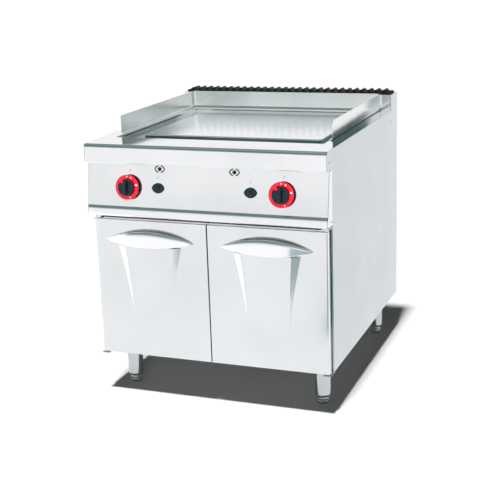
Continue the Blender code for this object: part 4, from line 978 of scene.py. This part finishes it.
# %% [markdown]
# ## Legs and glides
# Each leg is a tube, drawn in at its lower end round the screw of the glide. The glide is turned: a foot
# that rests on the floor, a neck, a collar that closes the tube from below, and the screw inside it. Both
# are profiles turned about the leg's axis, as on a lathe. Stacked cylinders would need a bevel at every step.

# %% Legs and glides
TUBE_RADIUS, TUBE_WALL = 0.0255, 0.002
leg_profile = np.vstack([
    [(0.0083, 0.0240), (0.0198, 0.0240)], arc((0.0198, 0.0268), 0.0028, -90, -35, 4),
    arc((0.0226, 0.0332), 0.0029, -35, 0, 4),
    [(TUBE_RADIUS, 0.0345), (TUBE_RADIUS, 0.1425), (0.0350, 0.1443), (0.0350, 0.1473),
     (TUBE_RADIUS - TUBE_WALL, 0.1473), (TUBE_RADIUS - TUBE_WALL, 0.0345), (0.0083, 0.0275)]])
glide_profile = np.vstack([
    [(0.0, 0.0), (0.0160, 0.0)], arc((0.0160, 0.0022), 0.0022, -90, -20, 4),
    arc((0.0186, 0.0050), 0.0022, -40, 0, 3), [(0.0208, 0.0070), (0.0208, 0.0122)],
    arc((0.0196, 0.0122), 0.0012, 0, 90, 4), [(0.0170, 0.0140), (0.0170, 0.0152), (0.0193, 0.0156)],
    arc((0.0193, 0.0168), 0.0012, -60, 0, 3), [(0.0205, 0.0222)], arc((0.0190, 0.0222), 0.0015, 0, 90, 4),
    [(0.0080, 0.0237), (0.0080, 0.0735), (0.0070, 0.0750), (0.0, 0.0750)]])
for end in ("front", "rear"):
    for name in SIDES:
        low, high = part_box(f"glide_{end}_{name}")
        middle = ((low[0] + high[0]) / 2, (low[1] + high[1]) / 2, 0.0)
        make(f"leg_{end}_{name}_tube", [sheet_of(turned(leg_profile, 64) + middle, around=True, along=True)],
             "cabinet", STEEL_TUBE_PAINTED_SHADE, (f"leg_{end}_{name}",), sharp=40)
        make(f"glide_{end}_{name}_turned", [sheet_of(turned(glide_profile, 64) + middle, around=True)],
             f"glide_{end}_{name}", STEEL_TUBE_PAINTED_SHADE, (f"glide_{end}_{name}",), sharp=30)

# %% [markdown]
# ## Finishes for the pieces that keep their CAD shape
# Side panels, door liners, pipes, burners and valves already have their real shape, so each only takes a
# finish that matches what it is made of; the side panels' steel and the tube steel are darker shades of the
# same steel, which is painted shade. One table gives the nodes of each finish.

# %% Finishes for the CAD nodes
keeps_shape = {
    # the side panels take the steel made darker as painted shade
    STEEL_SIDE_PAINTED_SHADE: ("side_panel_left", "side_panel_right"),
    STEEL_ACROSS: ("cabinet_floor", "front_rail", "door_liner_left", "door_liner_right", "flue_box"),
    STEEL_DEEP: ("grease_pan", "sight_tube_left", "sight_tube_right"),
    # the tube steel is made darker as painted shade
    STEEL_TUBE_PAINTED_SHADE: ("spindle_left", "spindle_right", "drain_tube"),
    STEEL_ZINC: ("back_panel", "burner_tray", "gas_pipe", "hinge_lower_left", "hinge_lower_right"),
    CAST_IRON: ("burner_left", "burner_right"),
    BRASS: ("gas_valve_left", "gas_valve_right", "pilot_left", "pilot_right"),
    COPPER: ("feed_pipe_left", "feed_pipe_right"),
    ABS_BLACK: ("door_catch",),
}
for used, nodes in keeps_shape.items():
    for name in nodes:
        mesh = frame["nodes"][name].data
        mesh.materials.clear()
        mesh.materials.append(used)
    print(f"{used.name}: {', '.join(nodes)}")
